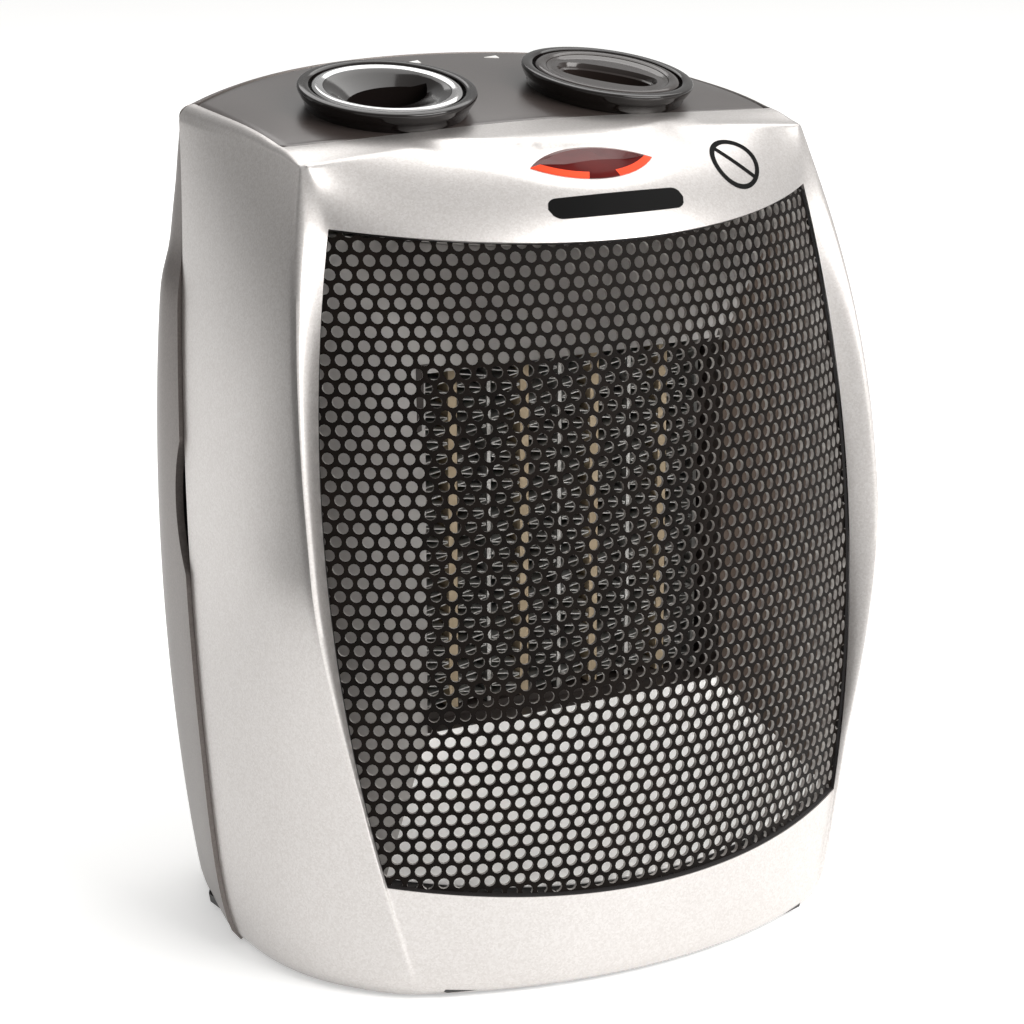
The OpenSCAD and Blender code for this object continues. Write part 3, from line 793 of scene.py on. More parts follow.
@dataclass
class Form:
    """The heater's leading surfaces and lines, shared by the pieces that follow them."""

    floor_z: float = 1.0
    front_reach: float = 77.0
    sheet_r: float = 137.5
    lean_r: float = 610.0
    lean_z: float = 50.0
    open_half: float = 81.9
    open_side_r: float = 370.0
    open_mid_z: float = 120.0
    open_top_z: float = 195.3
    open_top_r: float = 561.0
    open_bottom_z: float = 26.3
    open_bottom_r: float = 417.0
    top_h: float = 232.3
    top_long_r: float = 420.0
    top_apex_y: float = 86.5
    top_cross_r: float = 850.0
    band_y: float = -13.5
    band_z: float = 220.4
    band_rise: float = 0.1228
    crease_y: float = -28.0
    crease_z: float = 215.2
    panel_front_y: float = -14.7
    panel_half: float = 75.6
    panel_rear_r: float = 168.0
    panel_rear_y: float = 54.0
    seam_lean: float = 9.8
    seam_y: float = -1.5
    seam_top_z: float = 219.6
    edge_lift: float = 1.5
    edge_lift_run: float = 12.0
    edge_droop: float = 3.7
    edge_droop_start: float = 15.6
    edge_droop_run: float = 56.0
    rim_proud: float = 0.8
    knob_x: float = 34.3
    knob_y: float = 6.0

    def top_z(self, x: Value, y: Value) -> Value:
        """Height of the arched top with its front band; its sides lift in front and droop behind.

        Args:
            x: how far across.
            y: how far back.

        Returns:
            The height there.
        """
        cross = arc_drop(self.top_cross_r, x)
        arch = self.top_h - arc_drop(self.top_long_r, self.top_apex_y - y) - cross
        band = self.band_z + (y - self.band_y) * self.band_rise - cross
        y = np.asarray(y, float)
        rise = self.edge_lift * smooth((y - self.crease_y) / self.edge_lift_run)
        sag = self.edge_droop * smooth((y + self.edge_droop_start) / self.edge_droop_run)
        return np.maximum(arch, band) + (rise - sag) * (np.abs(x) / self.panel_half) ** 4

    def sheet_y(self, x: Value, z: Value, proud: float = 0.0) -> Value:
        """Where the bowed front lies at x and height z, some millimetres proud of the sheet."""
        r = self.sheet_r + proud - arc_drop(self.lean_r, z - self.lean_z)
        return self.sheet_r - self.front_reach - np.sqrt(r * r - np.asarray(x, float) ** 2)

    def half(self, z: Value) -> Value:
        """Half the width of the grille opening at a height."""
        return self.open_half - arc_drop(self.open_side_r, z - self.open_mid_z)

    def open_top(self, x: Value) -> Value:
        """Height of the opening's sagging top edge."""
        return self.open_top_z + arc_drop(self.open_top_r, x)

    def open_bottom(self, x: Value) -> Value:
        """Height of the opening's bulging bottom edge."""
        return self.open_bottom_z + arc_drop(self.open_bottom_r, x)

    @staticmethod
    def ridge(z: float) -> tuple[float, float]:
        """Plan place of the front corner crease at a height: widest in the middle, leaning back above.

        Args:
            z: the height.

        Returns:
            Its x and y on the right-hand side.
        """
        widest, waist_z, waist_run, waist_slope = 88.9, 116.0, 25.0, 0.262
        straight, upper_r = 12, 327.0
        if z > waist_z + straight:
            x = widest - float(arc_drop(upper_r, z - waist_z - straight))
        elif z < waist_z:
            x = widest - (math.hypot(1.0, (waist_z - z) / waist_run) - 1) * waist_run * waist_slope
        else:
            x = widest
        front_y, base_z, base_slope, lean_r = -57.0, 46.0, 0.09, 490.0
        if z > base_z:
            y = front_y + float(arc_drop(lean_r, z - base_z))
        else:
            y = front_y - (base_z - z) * base_slope
        foot_run, foot_in, foot_back = 3.5, 1.8, 5.0
        foot = math.exp(-z / foot_run)
        return x - foot_in * foot, y + foot_back * foot

    def seam(self, z: float) -> tuple[float, float]:
        """Plan place of the seam between the shells at a height.

        Args:
            z: the height.

        Returns:
            Its x and y on the right-hand side.
        """
        widest, upper_r, upper_z = 91.0, 960.0, 62.0
        flare, flare_z, flare_run = 2.4, 175.0, 45.0
        foot_in, foot_run = 5.0, 12.0
        drop = float(arc_drop(upper_r, z - upper_z)) if z > upper_z else 0.0
        out = flare * (max(z - flare_z, 0.0) / flare_run) ** 2
        half = widest - drop + out - foot_in * math.exp(-z / foot_run)
        return half, self.seam_y + z * math.tan(math.radians(self.seam_lean))

    def panel_back(self, x: Value) -> Value:
        """Where the dark panel ends at the back."""
        return self.panel_rear_y - arc_drop(self.panel_rear_r, x)

    def brow(self, x: float, w: float) -> np.ndarray:
        """A point of the brow.

        Args:
            x: how far across, as the place of its column at the crease.
            w: nought at the opening's edge, one at the crease.

        Returns:
            The point.
        """
        share = x / self.panel_half
        foot_x = share * self.corner()[0]
        foot_z = float(self.open_top(foot_x))
        foot = np.array((foot_x, float(self.sheet_y(foot_x, foot_z, self.rim_proud)), foot_z))
        head = np.array((x, self.crease_y, float(self.top_z(x, self.crease_y))))
        run, rise = head[1] - foot[1], head[2] - foot[2]
        length = math.hypot(run, rise)
        swell, swell_run, least = 9.0, 45.0, 0.4
        bulge = swell * math.exp(-((x / swell_run) ** 2)) + least
        knee = (foot + head) / 2 + bulge * np.array((0.0, -rise / length, run / length))
        return (1 - w) ** 2 * foot + 2 * w * (1 - w) * knee + w * w * head

    def meet(self, line: Callable[[Value], Value], x: float) -> tuple[float, float]:
        """Where the opening's side meets its top or bottom line, as x and z, from a first guess of x.

        Args:
            line: the top or bottom line, as height over x.
            x: a first guess of x.

        Returns:
            The meeting point's x and z.
        """
        rounds = 6
        for _ in range(rounds):
            x = float(self.half(line(x)))
        return x, float(line(x))

    def corner(self) -> tuple[float, float]:
        """The opening's upper corner, as x and z."""
        return self.meet(self.open_top, 74.0)

    def low_corner(self) -> tuple[float, float]:
        """The opening's lower corner, as x and z."""
        return self.meet(self.open_bottom, 71.0)

    def knob_frame(self, side: int) -> tuple[np.ndarray, np.ndarray, np.ndarray, np.ndarray]:
        """A knob's place: its origin on the panel and its x, y and z directions.

        Args:
            side: -1 for the left knob, 1 for the right.

        Returns:
            Origin, x, y and z.
        """
        x, y = self.knob_x, self.knob_y
        slope = math.asin((self.top_apex_y - y) / self.top_long_r)
        tilt = side * math.asin(x / self.top_cross_r)
        cs, ss, ct, st = math.cos(slope), math.sin(slope), math.cos(tilt), math.sin(tilt)
        lean_back = np.array(((1, 0, 0), (0, cs, -ss), (0, ss, cs)))
        lean_out = np.array(((ct, 0, st), (0, 1, 0), (-st, 0, ct)))
        turn = lean_out @ lean_back
        origin = np.array((side * x, y, float(self.top_z(x, y))))
        return origin, turn[:, 0], turn[:, 1], turn[:, 2]


# ---------------------------------------------------------------- housing


@dataclass
class FrontShell:
    """The silver shell: bowed chin, chamfered opening, brow with its scoop, top band and sides."""

    form: Form
    make: Maker
    wall: float = 2.2
    chin_rows: int = 26
    open_rows: int = 88
    brow_rows: int = 34
    band_rows: int = 20
    mid_columns: int = 220
    chamfer_columns: int = 8
    side_columns: int = 36
    crease_rounding: int = 4
    collar_steps: tuple[tuple[float, float], ...] = ((0.35, -0.1), (-0.35, 0.55), (-1.8, 0.75), (-6.5, 0.9))
    collar_samples: int = 81
    collar_wall: float = 0.5
    foot_narrow: float = 1.5
    chin_spread: float = 0.8
    chin_tuck: float = 3.0
    side_tuck: float = 1.5
    tuck_run: float = 1.2
    strip_crown: float = 0.9
    roll_power: int = 6
    side_bulge: float = 3.0
    foot_bulge: float = 15.0
    foot_bulge_run: float = 48.0
    top_flatten: float = 2.4
    side_knee: float = 0.42
    scoop_low_z: float = 203
    scoop_reach: float = 52
    scoop_fade: tuple[float, float] = (34, 12)
    scoop_rounding: int = 4

    def chamfer(self, inner: np.ndarray, outer: np.ndarray, round_up: float) -> np.ndarray:
        """Points from the opening's edge out to the ridge, crowned a little.

        Args:
            inner: the point at the opening.
            outer: the point on the ridge.
            round_up: how far the strip bulges forwards.

        Returns:
            One row of points.
        """
        t = np.linspace(0, 1, self.chamfer_columns + 1)[:, None]
        row = mix(inner[None, :], outer[None, :], t)
        row[:, 1] -= (np.sin(t[:, 0] * math.pi) * round_up)
        return row

    def roll_over(self, inner: np.ndarray, outer: np.ndarray) -> np.ndarray:
        """Points from the panel's edge over the rounded top corner down to the side wall.

        Args:
            inner: the point at the panel's edge.
            outer: the point at the top of the side wall.

        Returns:
            One row of points.
        """
        a = np.linspace(0, math.pi / 2, self.chamfer_columns + 1)
        row = np.empty((len(a), 3))
        row[:, 0] = inner[0] + (outer[0] - inner[0]) * np.sin(a)
        row[:, 1] = mix(inner[1], outer[1], np.sin(a))
        row[:, 2] = outer[2] + (inner[2] - outer[2]) * np.cos(a)
        return row

    def chin(self) -> tuple[np.ndarray, list[float]]:
        """Rows below the opening, and the height of each row's ridge point.

        Returns:
            The rows, and the height of each row's ridge point.
        """
        f = self.form
        edge_x, edge_z = f.low_corner()
        s = np.linspace(-1, 1, self.mid_columns + 1)
        rows, heights = [], []
        for v in np.linspace(0, 1, self.chin_rows + 1):
            z_edge = mix(f.floor_z, edge_z, v)
            half = mix(float(f.ridge(f.floor_z)[0]) - self.foot_narrow, edge_x, v ** self.chin_spread)
            x = s * half
            z = f.floor_z + v * (f.open_bottom(s * edge_x) - f.floor_z)
            tuck = self.chin_tuck * np.exp(-(z - f.floor_z) / self.tuck_run)
            mid = np.stack([x, f.sheet_y(x, z, f.rim_proud) + tuck, z], 1)
            rows.append(self.with_chamfers(mid, z_edge))
            heights.append(z_edge)
        return np.array(rows), heights

    def with_chamfers(self, mid: np.ndarray, ridge_z: float) -> np.ndarray:
        """A row of mid points with the flat chamfer strips on both ends.

        Args:
            mid: the row between the strips.
            ridge_z: the ridge's height at this row.

        Returns:
            The whole row, from the left ridge to the right one.
        """
        x, y = self.form.ridge(ridge_z)
        right = self.chamfer(mid[-1], np.array((x, y, ridge_z)), 0.0)
        left = right * (-1, 1, 1)
        return np.concatenate([left[::-1], mid[1:-1], right])

    def edge(self, z: float) -> np.ndarray:
        """The opening's right edge at a height."""
        x = float(self.form.half(z))
        return np.array((x, float(self.form.sheet_y(x, z, self.form.rim_proud)), z))

    def opening(self) -> tuple[np.ndarray, list[float]]:
        """Right chamfer strips beside the opening, from its lower to its upper corner.

        Returns:
            The rows, and the height of each.
        """
        low, high = self.form.low_corner()[1], self.form.corner()[1]
        heights = list(np.linspace(low, high, self.open_rows + 1))
        rows = []
        for z in heights:
            x, y = self.form.ridge(z)
            fade = math.sin(math.pi * (z - low) / (high - low))
            rows.append(self.chamfer(self.edge(z), np.array((x, y, z)), self.strip_crown * fade))
        return np.array(rows), heights

    def brow(self) -> tuple[np.ndarray, list[float]]:
        """Rows from the opening's top edge up to the crease.

        Returns:
            The rows, and the height of each row's ridge point.
        """
        f = self.form
        start = f.corner()[1]
        columns = np.linspace(-f.panel_half, f.panel_half, self.mid_columns + 1)
        rows, heights = [], []
        for w in np.linspace(0, 1, self.brow_rows + 1):
            mid = np.array([f.brow(x, w) for x in columns])
            ridge_z = mix(start, f.crease_z, w)
            x, y = f.ridge(ridge_z)
            outer = np.array((x, y, ridge_z))
            flat = self.chamfer(mid[-1], outer, 0.0)
            rolled = self.roll_over(mid[-1], outer)
            right = mix(flat, rolled, w ** self.roll_power)
            left = right * (-1, 1, 1)
            rows.append(np.concatenate([left[::-1], mid[1:-1], right]))
            heights.append(ridge_z)
        return np.array(rows), heights

    def band(self) -> np.ndarray:
        """Rows from the crease back to the dark panel.

        Returns:
            The rows, from the crease back.
        """
        f = self.form
        x = np.linspace(-f.panel_half, f.panel_half, self.mid_columns + 1)
        rows = [
            np.stack([x, np.full_like(x, y), f.top_z(x, y)], 1)
            for y in np.linspace(f.crease_y, f.panel_front_y, self.band_rows + 1)
        ]
        return np.array(rows)

    def side(self, heights: Sequence[float]) -> tuple[np.ndarray, np.ndarray]:
        """The right side wall and the roll-over above it.

        Args:
            heights: the ridge's height at each row.

        Returns:
            The wall's grid and the roll-over's grid.
        """
        f = self.form
        u = np.linspace(0, 1, self.side_columns + 1)
        top = heights[-1]
        rows = []
        for z in heights:
            v = z / top
            ridge = np.array((*f.ridge(z), z))
            seam_z = f.floor_z + (z - f.floor_z) * (f.seam_top_z - f.floor_z) / (top - f.floor_z)
            seam = np.array((*f.seam(seam_z), seam_z))
            swell = self.foot_bulge * math.exp(-z / self.foot_bulge_run)
            bulge = swell + self.side_bulge - self.top_flatten * v ** self.roll_power
            along = seam - ridge
            out = np.array((along[1], -along[0], 0.0)) / math.hypot(along[0], along[1])
            knee = mix(ridge, seam, self.side_knee) + out * bulge
            t = u[:, None]
            row = (1 - t) ** 2 * ridge + 2 * t * (1 - t) * knee + t * t * seam
            tuck = self.side_tuck * math.exp(-(z - f.floor_z) / self.tuck_run)
            row[:, 0] -= tuck * smooth(u * 3)
            rows.append(row)
        wall = np.array(rows)
        roll = []
        for outer, t in zip(wall[-1], u):
            y = outer[1] + (f.crease_y - wall[-1][0][1]) * (1 - t)
            inner = np.array((f.panel_half, y, float(f.top_z(f.panel_half, y))))
            roll.append(self.roll_over(inner, outer))
        return wall, np.array(roll)

    def scoop(self, bm: bmesh.types.BMesh) -> None:
        """Sinks the pocket round the lens, with its ledge above.

        Args:
            bm: the shell's mesh, in millimetres.
        """
        f = self.form
        start, run = self.scoop_fade
        for v in bm.verts:
            x, y, z = v.co
            if z < self.scoop_low_z or y > f.panel_front_y - 0.05:
                continue
            depth = Lens.pocket(abs(x), y)
            if depth < z:
                v.co.z = mix(depth, z, smooth((abs(x) - start) / run))

    def collar(self) -> bmesh.types.BMesh:
        """The dark rim inside the opening, from its edge back to the funnel.

        Returns:
            The rim's mesh, in millimetres.
        """
        f = self.form
        edge_x, edge_z = f.low_corner()
        top_x, top_z = f.corner()
        s = np.linspace(-1, 1, self.collar_samples)
        low = [(x, float(f.open_bottom(x))) for x in s * edge_x]
        right = [(float(f.half(z)), z) for z in np.linspace(edge_z, top_z, self.collar_samples)[1:-1]]
        high = [(x, float(f.open_top(x))) for x in s[::-1] * top_x]
        left = [(-x, z) for x, z in right[::-1]]
        line = np.array(low + right + high + left)
        middle = np.array((0.0, f.open_mid_z))
        away = line - middle
        rows = []
        for proud, inset in self.collar_steps:
            pull = 1 - inset / np.hypot(away[:, 0], away[:, 1])
            x, z = middle[0] + away[:, 0] * pull, middle[1] + away[:, 1] * pull
            rows.append(np.stack([x, f.sheet_y(x, z, proud), z], 1))
        sheet = Sheet()
        sheet.grid(np.array(rows), wrap=True)
        return sheet.mesh("collar", 0.005)

    def build(self) -> None:
        """Makes the shell."""
        f = self.form
        rim = self.collar()
        bmesh.ops.recalc_face_normals(rim, faces=rim.faces)
        self.make.piece(
            "opening_rim", rim, [Palette.rim_black], "black_plastic", sharp=40,
            modifiers=[("SOLIDIFY", {"thickness": self.collar_wall * MM, "offset": 0.0})],
        )
        chin, low = self.chin()
        strip, middle = self.opening()
        brow, high = self.brow()
        heights = low + middle[1:] + high[1:]
        wall, roll = self.side(heights)
        sheet = Sheet()
        sheet.grid(chin)
        sheet.grid(brow)
        sheet.grid(self.band())
        for flip in (1, -1):
            turn = np.array((flip, 1, 1))
            sheet.grid(strip * turn)
            sheet.grid(wall * turn)
            sheet.grid(roll * turn)
        bm = sheet.mesh("front_shell", 0.05)
        relax(bm, self.crease_rounding)
        self.scoop(bm)
        relax(
            bm, self.scoop_rounding,
            lambda p: abs(p.x) < self.scoop_reach and p.z > self.scoop_low_z and p.y < f.panel_front_y - 1,
        )
        face_out(bm, (0, 0, 110))
        self.make.piece(
            "front_shell_skin", bm, [Palette.silver_front], "silver_front", ["front_shell"], sharp=38,
            modifiers=[inner_wall(self.wall)],
        )


@dataclass
class RearShell:
    """The darker rear shell with its soft corners, finger slots, inlet opening and screw wells."""

    form: Form
    make: Maker
    wall: float = 2.2
    rows: int = 72
    columns: int = 150
    proud: float = 1.2
    gap: float = 0.5
    back_r: float = 190.0
    back_reach: float = 75.5
    back_lean_r: float = 650.0
    back_lean_z: float = 70.0
    softness: int = 40
    hip_y: float = 42.5
    hip_half: float = 87.8
    hip_r: float = 650.0
    hip_z: float = 118.0
    shoulder_in: float = 2.2
    shoulder_rise: tuple[float, float] = (174, 12)
    shoulder_fall: tuple[float, float] = (200, 20)
    proud_fade: tuple[float, float] = (172, 16)
    proud_loss: float = 1.25
    rounding: int = 2
    corner_yaw: float = 32.0
    inlet: tuple[float, float] = (146.0, 124.0)
    inlet_round: float = 86.0
    inlet_z: float = 112.0
    rim_drop: float = 3.0
    rim_rows: int = 5
    foot_tuck: float = 1.6
    foot_half: float = 90
    tuck_height: float = 200
    tuck_run: float = 1.2
    slot_z: float = 124.0
    slot_r: float = 36.0
    slot_in: float = 4.8
    slot_reach: float = 120
    inlet_cut: tuple[float, float] = (40, 95)
    hole_cut: tuple[float, float] = (38, 95)
    cutter_sides: int = 96
    holes: tuple[Point, ...] = (
        (26, 24, 6.2), (-66, 203.5, 3.5), (66, 203.5, 3.5), (-56, 22, 3.5), (56, 22, 3.5),
    )

    def hip(self, z: float) -> float:
        """Half the width at the hip, where the side turns in to the corner, with a shoulder above it.

        Args:
            z: the height.

        Returns:
            Half the width there.
        """
        (rise_z, rise_run), (fall_z, fall_run) = self.shoulder_rise, self.shoulder_fall
        shoulder = float(smooth((z - rise_z) / rise_run) * (1 - smooth((z - fall_z) / fall_run)))
        return self.hip_half - float(arc_drop(self.hip_r, z - self.hip_z)) - self.shoulder_in * shoulder

    def outline(self, z: float) -> np.ndarray:
        """The plan outline at a height, from the right seam round the back to the left seam.

        Args:
            z: the height.

        Returns:
            One row of points.
        """
        f = self.form
        half, start = f.seam(z)
        fade_z, fade_run = self.proud_fade
        half += self.proud * (1 - self.proud_loss * float(smooth((z - fade_z) / fade_run)))
        start += self.gap
        radius = self.back_r - float(arc_drop(self.back_lean_r, z - self.back_lean_z))
        centre = self.back_reach - self.back_r
        deep = centre + radius - start
        angle = np.linspace(0, math.pi, self.columns + 1)
        dx, dy = half * np.cos(angle), deep * np.sin(angle)
        length = np.hypot(dx, dy)
        ux, uy = dx / length, dy / length
        hip, hip_y = self.hip(z), self.hip_y
        lean = math.atan2(half - hip, hip_y - start)
        along = np.maximum(np.abs(ux) * math.cos(lean) + uy * math.sin(lean), 1e-6)
        to_side = half * math.cos(lean) / along
        yaw = math.radians(self.corner_yaw)
        cut = hip * math.cos(yaw) + (hip_y - start) * math.sin(yaw)
        to_cut = cut / np.maximum(np.abs(ux) * math.cos(yaw) + uy * math.sin(yaw), 1e-6)
        offset = start - centre
        to_back = -uy * offset + np.sqrt((uy * offset) ** 2 + radius ** 2 - offset ** 2)
        reach = np.minimum.reduce([to_side, to_cut, to_back])
        for _ in range(self.softness):
            reach[1:-1] = (reach[:-2] + 2 * reach[1:-1] + reach[2:]) / 4
        return np.stack([reach * ux, start + reach * uy, np.full_like(reach, z)], 1)

    def skin(self) -> np.ndarray:
        """The wall's grid from the floor up to the arched top and over its rim to the panel.

        Returns:
            The grid, from the floor up.
        """
        f = self.form
        rows = []
        for v in np.linspace(0, 1, self.rows + 1):
            row = self.outline(f.floor_z + v * (f.seam_top_z - f.floor_z))
            crown = f.top_z(np.clip(row[:, 0], -f.panel_half, f.panel_half), row[:, 1]) - self.rim_drop
            crown = np.maximum(crown, f.seam_top_z)
            row[:, 2] = f.floor_z + v * (crown - f.floor_z)
            tuck = self.foot_tuck * math.exp(-v * self.tuck_height / self.tuck_run)
            row[:, :2] *= 1 - tuck / self.foot_half
            rows.append(row)
        top = rows[-1]
        half = abs(top[0, 0])
        inner_x = np.clip(top[:, 0] * f.panel_half / half, -f.panel_half, f.panel_half)
        inner_y = np.maximum(f.panel_back(inner_x), top[0, 1])
        inner = np.column_stack([inner_x, inner_y, f.top_z(inner_x, inner_y)])
        for a in np.linspace(0, math.pi / 2, self.rim_rows + 1)[1:]:
            row = mix(top, inner, 1 - math.cos(a))
            row[:, 2] = mix(top[:, 2], inner[:, 2], math.sin(a))
            rows.append(row)
        return np.array(rows)

    def cutters(self) -> bpy.types.Object:
        """Solids that are taken out of the shell: the inlet, finger slots, gland hole and screw wells.

        Returns:
            One object that holds all the solids.
        """
        sheet = Sheet()
        w, h = self.inlet[0] / 2, self.inlet[1] / 2
        turn = np.linspace(0, 2 * math.pi, self.cutter_sides + 1)[:-1]
        reach = np.minimum.reduce([
            w / np.maximum(np.abs(np.cos(turn)), 1e-6),
            h / np.maximum(np.abs(np.sin(turn)), 1e-6),
            np.full_like(turn, self.inlet_round),
        ])
        ring = np.stack([reach * np.cos(turn), np.zeros_like(turn), self.inlet_z + reach * np.sin(turn)], 1)
        near, far = self.inlet_cut
        self.prism(sheet, ring, (0, near, 0), (0, far, 0))
        lean = math.tan(math.radians(self.form.seam_lean))
        slot_y = self.form.seam_y + self.slot_z * lean + self.slot_in - self.slot_r
        reach_y, reach_z = self.slot_r * np.cos(turn), self.slot_r * np.sin(turn)
        disc = np.stack([np.zeros_like(turn), slot_y + reach_y, self.slot_z + reach_z], 1)
        self.prism(sheet, disc, (-self.slot_reach, 0, 0), (self.slot_reach, 0, 0))
        near, far = self.hole_cut
        for x, z, r in self.holes:
            hole = np.stack([x + r * np.cos(turn), np.zeros_like(turn), z + r * np.sin(turn)], 1)
            self.prism(sheet, hole, (0, near, 0), (0, far, 0))
        bm = sheet.mesh("cutters")
        bmesh.ops.recalc_face_normals(bm, faces=bm.faces)
        return to_object("rear_cutters", bm)

    @staticmethod
    def prism(sheet: Sheet, ring: np.ndarray, start: Point, end: Point) -> None:
        """Adds a closed prism that carries a ring of points from one offset to another.

        Args:
            sheet: what it is added to.
            ring: the points.
            start: the first offset.
            end: the last offset.
        """
        low, high = ring + np.array(start), ring + np.array(end)
        sheet.grid(np.array([low, high]), wrap=True)
        sheet.face(low)
        sheet.face(high[::-1])

    def build(self) -> None:
        """Makes the shell."""
        sheet = Sheet()
        sheet.grid(self.skin())
        bm = sheet.mesh("rear_shell", 0.03)
        relax(bm, self.rounding)
        face_out(bm, (0, 10, 110))
        cutters = self.cutters()
        self.make.piece(
            "rear_shell_skin", bm, [Palette.grey_rear], "grey_rear", ["rear_shell"], sharp=38,
            modifiers=[
                inner_wall(self.wall),
                ("BOOLEAN", {"operation": "DIFFERENCE", "object": cutters, "solver": "EXACT",
                             "use_self": True}),
            ],
        )
        bpy.data.objects.remove(cutters)


@dataclass
class TopPanel:
    """The dark arched panel that carries the knobs, with its rounded front corners."""

    form: Form
    make: Maker
    inset: float = 0.55
    corner_r: float = 2.0
    hole_r: float = 20.0
    rows: int = 74
    columns: int = 150
    thick: float = 1.8
    edge_soft: float = 0.35
    edge_run: float = 0.5
    bed_inset: float = -0.5
    bed_corner_r: float = 0.6
    bed_sink: float = 0.75
    bed_thick: float = 0.5
    mark_places: tuple[tuple[float, float], ...] = ((-5.0, 43.6), (21.0, 44.6))
    mark_shape: tuple[tuple[float, float], ...] = ((-2.6, -0.32), (2.2, 1.44), (1.6, -1.6))
    mark_lift: float = 0.14
    mark_sink: float = 0.2

    def sheet(self, inset: float, corner_r: float, sink: float, soft: float) -> bmesh.types.BMesh:
        """The panel's arched outline as a sheet with holes for the knobs.

        Args:
            inset: how far it stays inside the shells' edges.
            corner_r: radius of its front corners.
            sink: how far below the arched top it lies.
            soft: how far its edges are eased down.

        Returns:
            The sheet.
        """
        f = self.form
        half = f.panel_half - inset
        x = np.linspace(-half, half, self.columns + 1)
        over = np.maximum(np.abs(x) - (half - corner_r), 0)
        front = f.panel_front_y + inset + arc_drop(corner_r, np.minimum(over, corner_r))
        back = np.maximum(f.panel_back(x) - inset, front + 1)
        rows = []
        for v in np.linspace(0, 1, self.rows + 1):
            y = mix(front, back, v)
            edge = np.minimum(y - front, back - y)
            side = half - np.abs(x)
            soften = soft * (np.exp(-edge / self.edge_run) + np.exp(-side / self.edge_run))
            rows.append(np.stack([x, y, f.top_z(x, y) - soften - sink], 1))
        centres = [f.knob_frame(side)[0] for side in (-1, 1)]
        made = Sheet()
        made.grid(
            np.array(rows),
            keep=lambda p: all(math.hypot(p[0] - c[0], p[1] - c[1]) > self.hole_r for c in centres),
        )
        bm = made.mesh("panel")
        face_out(bm, (0, 10, 0))
        return bm

    def build(self) -> None:
        """Makes the panel and the dark bed that shows in the gap round it."""
        bm = self.sheet(self.inset, self.corner_r, 0.0, self.edge_soft)
        bed = self.sheet(self.bed_inset, self.bed_corner_r, self.bed_sink, 0.0)
        self.make.piece(
            "panel_bed", bed, [Palette.rim_black], "black_plastic",
            modifiers=[("SOLIDIFY", {"thickness": self.bed_thick * MM, "offset": -1.0})],
        )
        self.make.piece(
            "top_panel_skin", bm, [Palette.charcoal_panel], "charcoal_panel", ["top_panel"],
            modifiers=[("SOLIDIFY", {"thickness": self.thick * MM, "offset": -1.0})],
        )
        self.marks()

    def marks(self) -> None:
        """Two small white pointers printed behind the knobs."""
        f = self.form
        sheet = Sheet()
        for x, y in self.mark_places:
            points = [(x + dx, y + dy, float(f.top_z(x + dx, y + dy))) for dx, dy in self.mark_shape]
            lift = [np.array(p) + (0, 0, self.mark_lift) for p in points]
            sink = [np.array(p) - (0, 0, self.mark_sink) for p in points]
            sheet.face(lift)
            sheet.face(sink[::-1])
            for i in range(3):
                j = (i + 1) % 3
                sheet.face([lift[i], sink[i], sink[j], lift[j]])
        bm = sheet.mesh("marks", 0.001)
        bmesh.ops.recalc_face_normals(bm, faces=bm.faces)
        self.make.piece("pointer_prints", bm, [Palette.white_print], "white_print", ["pointer_marks"])


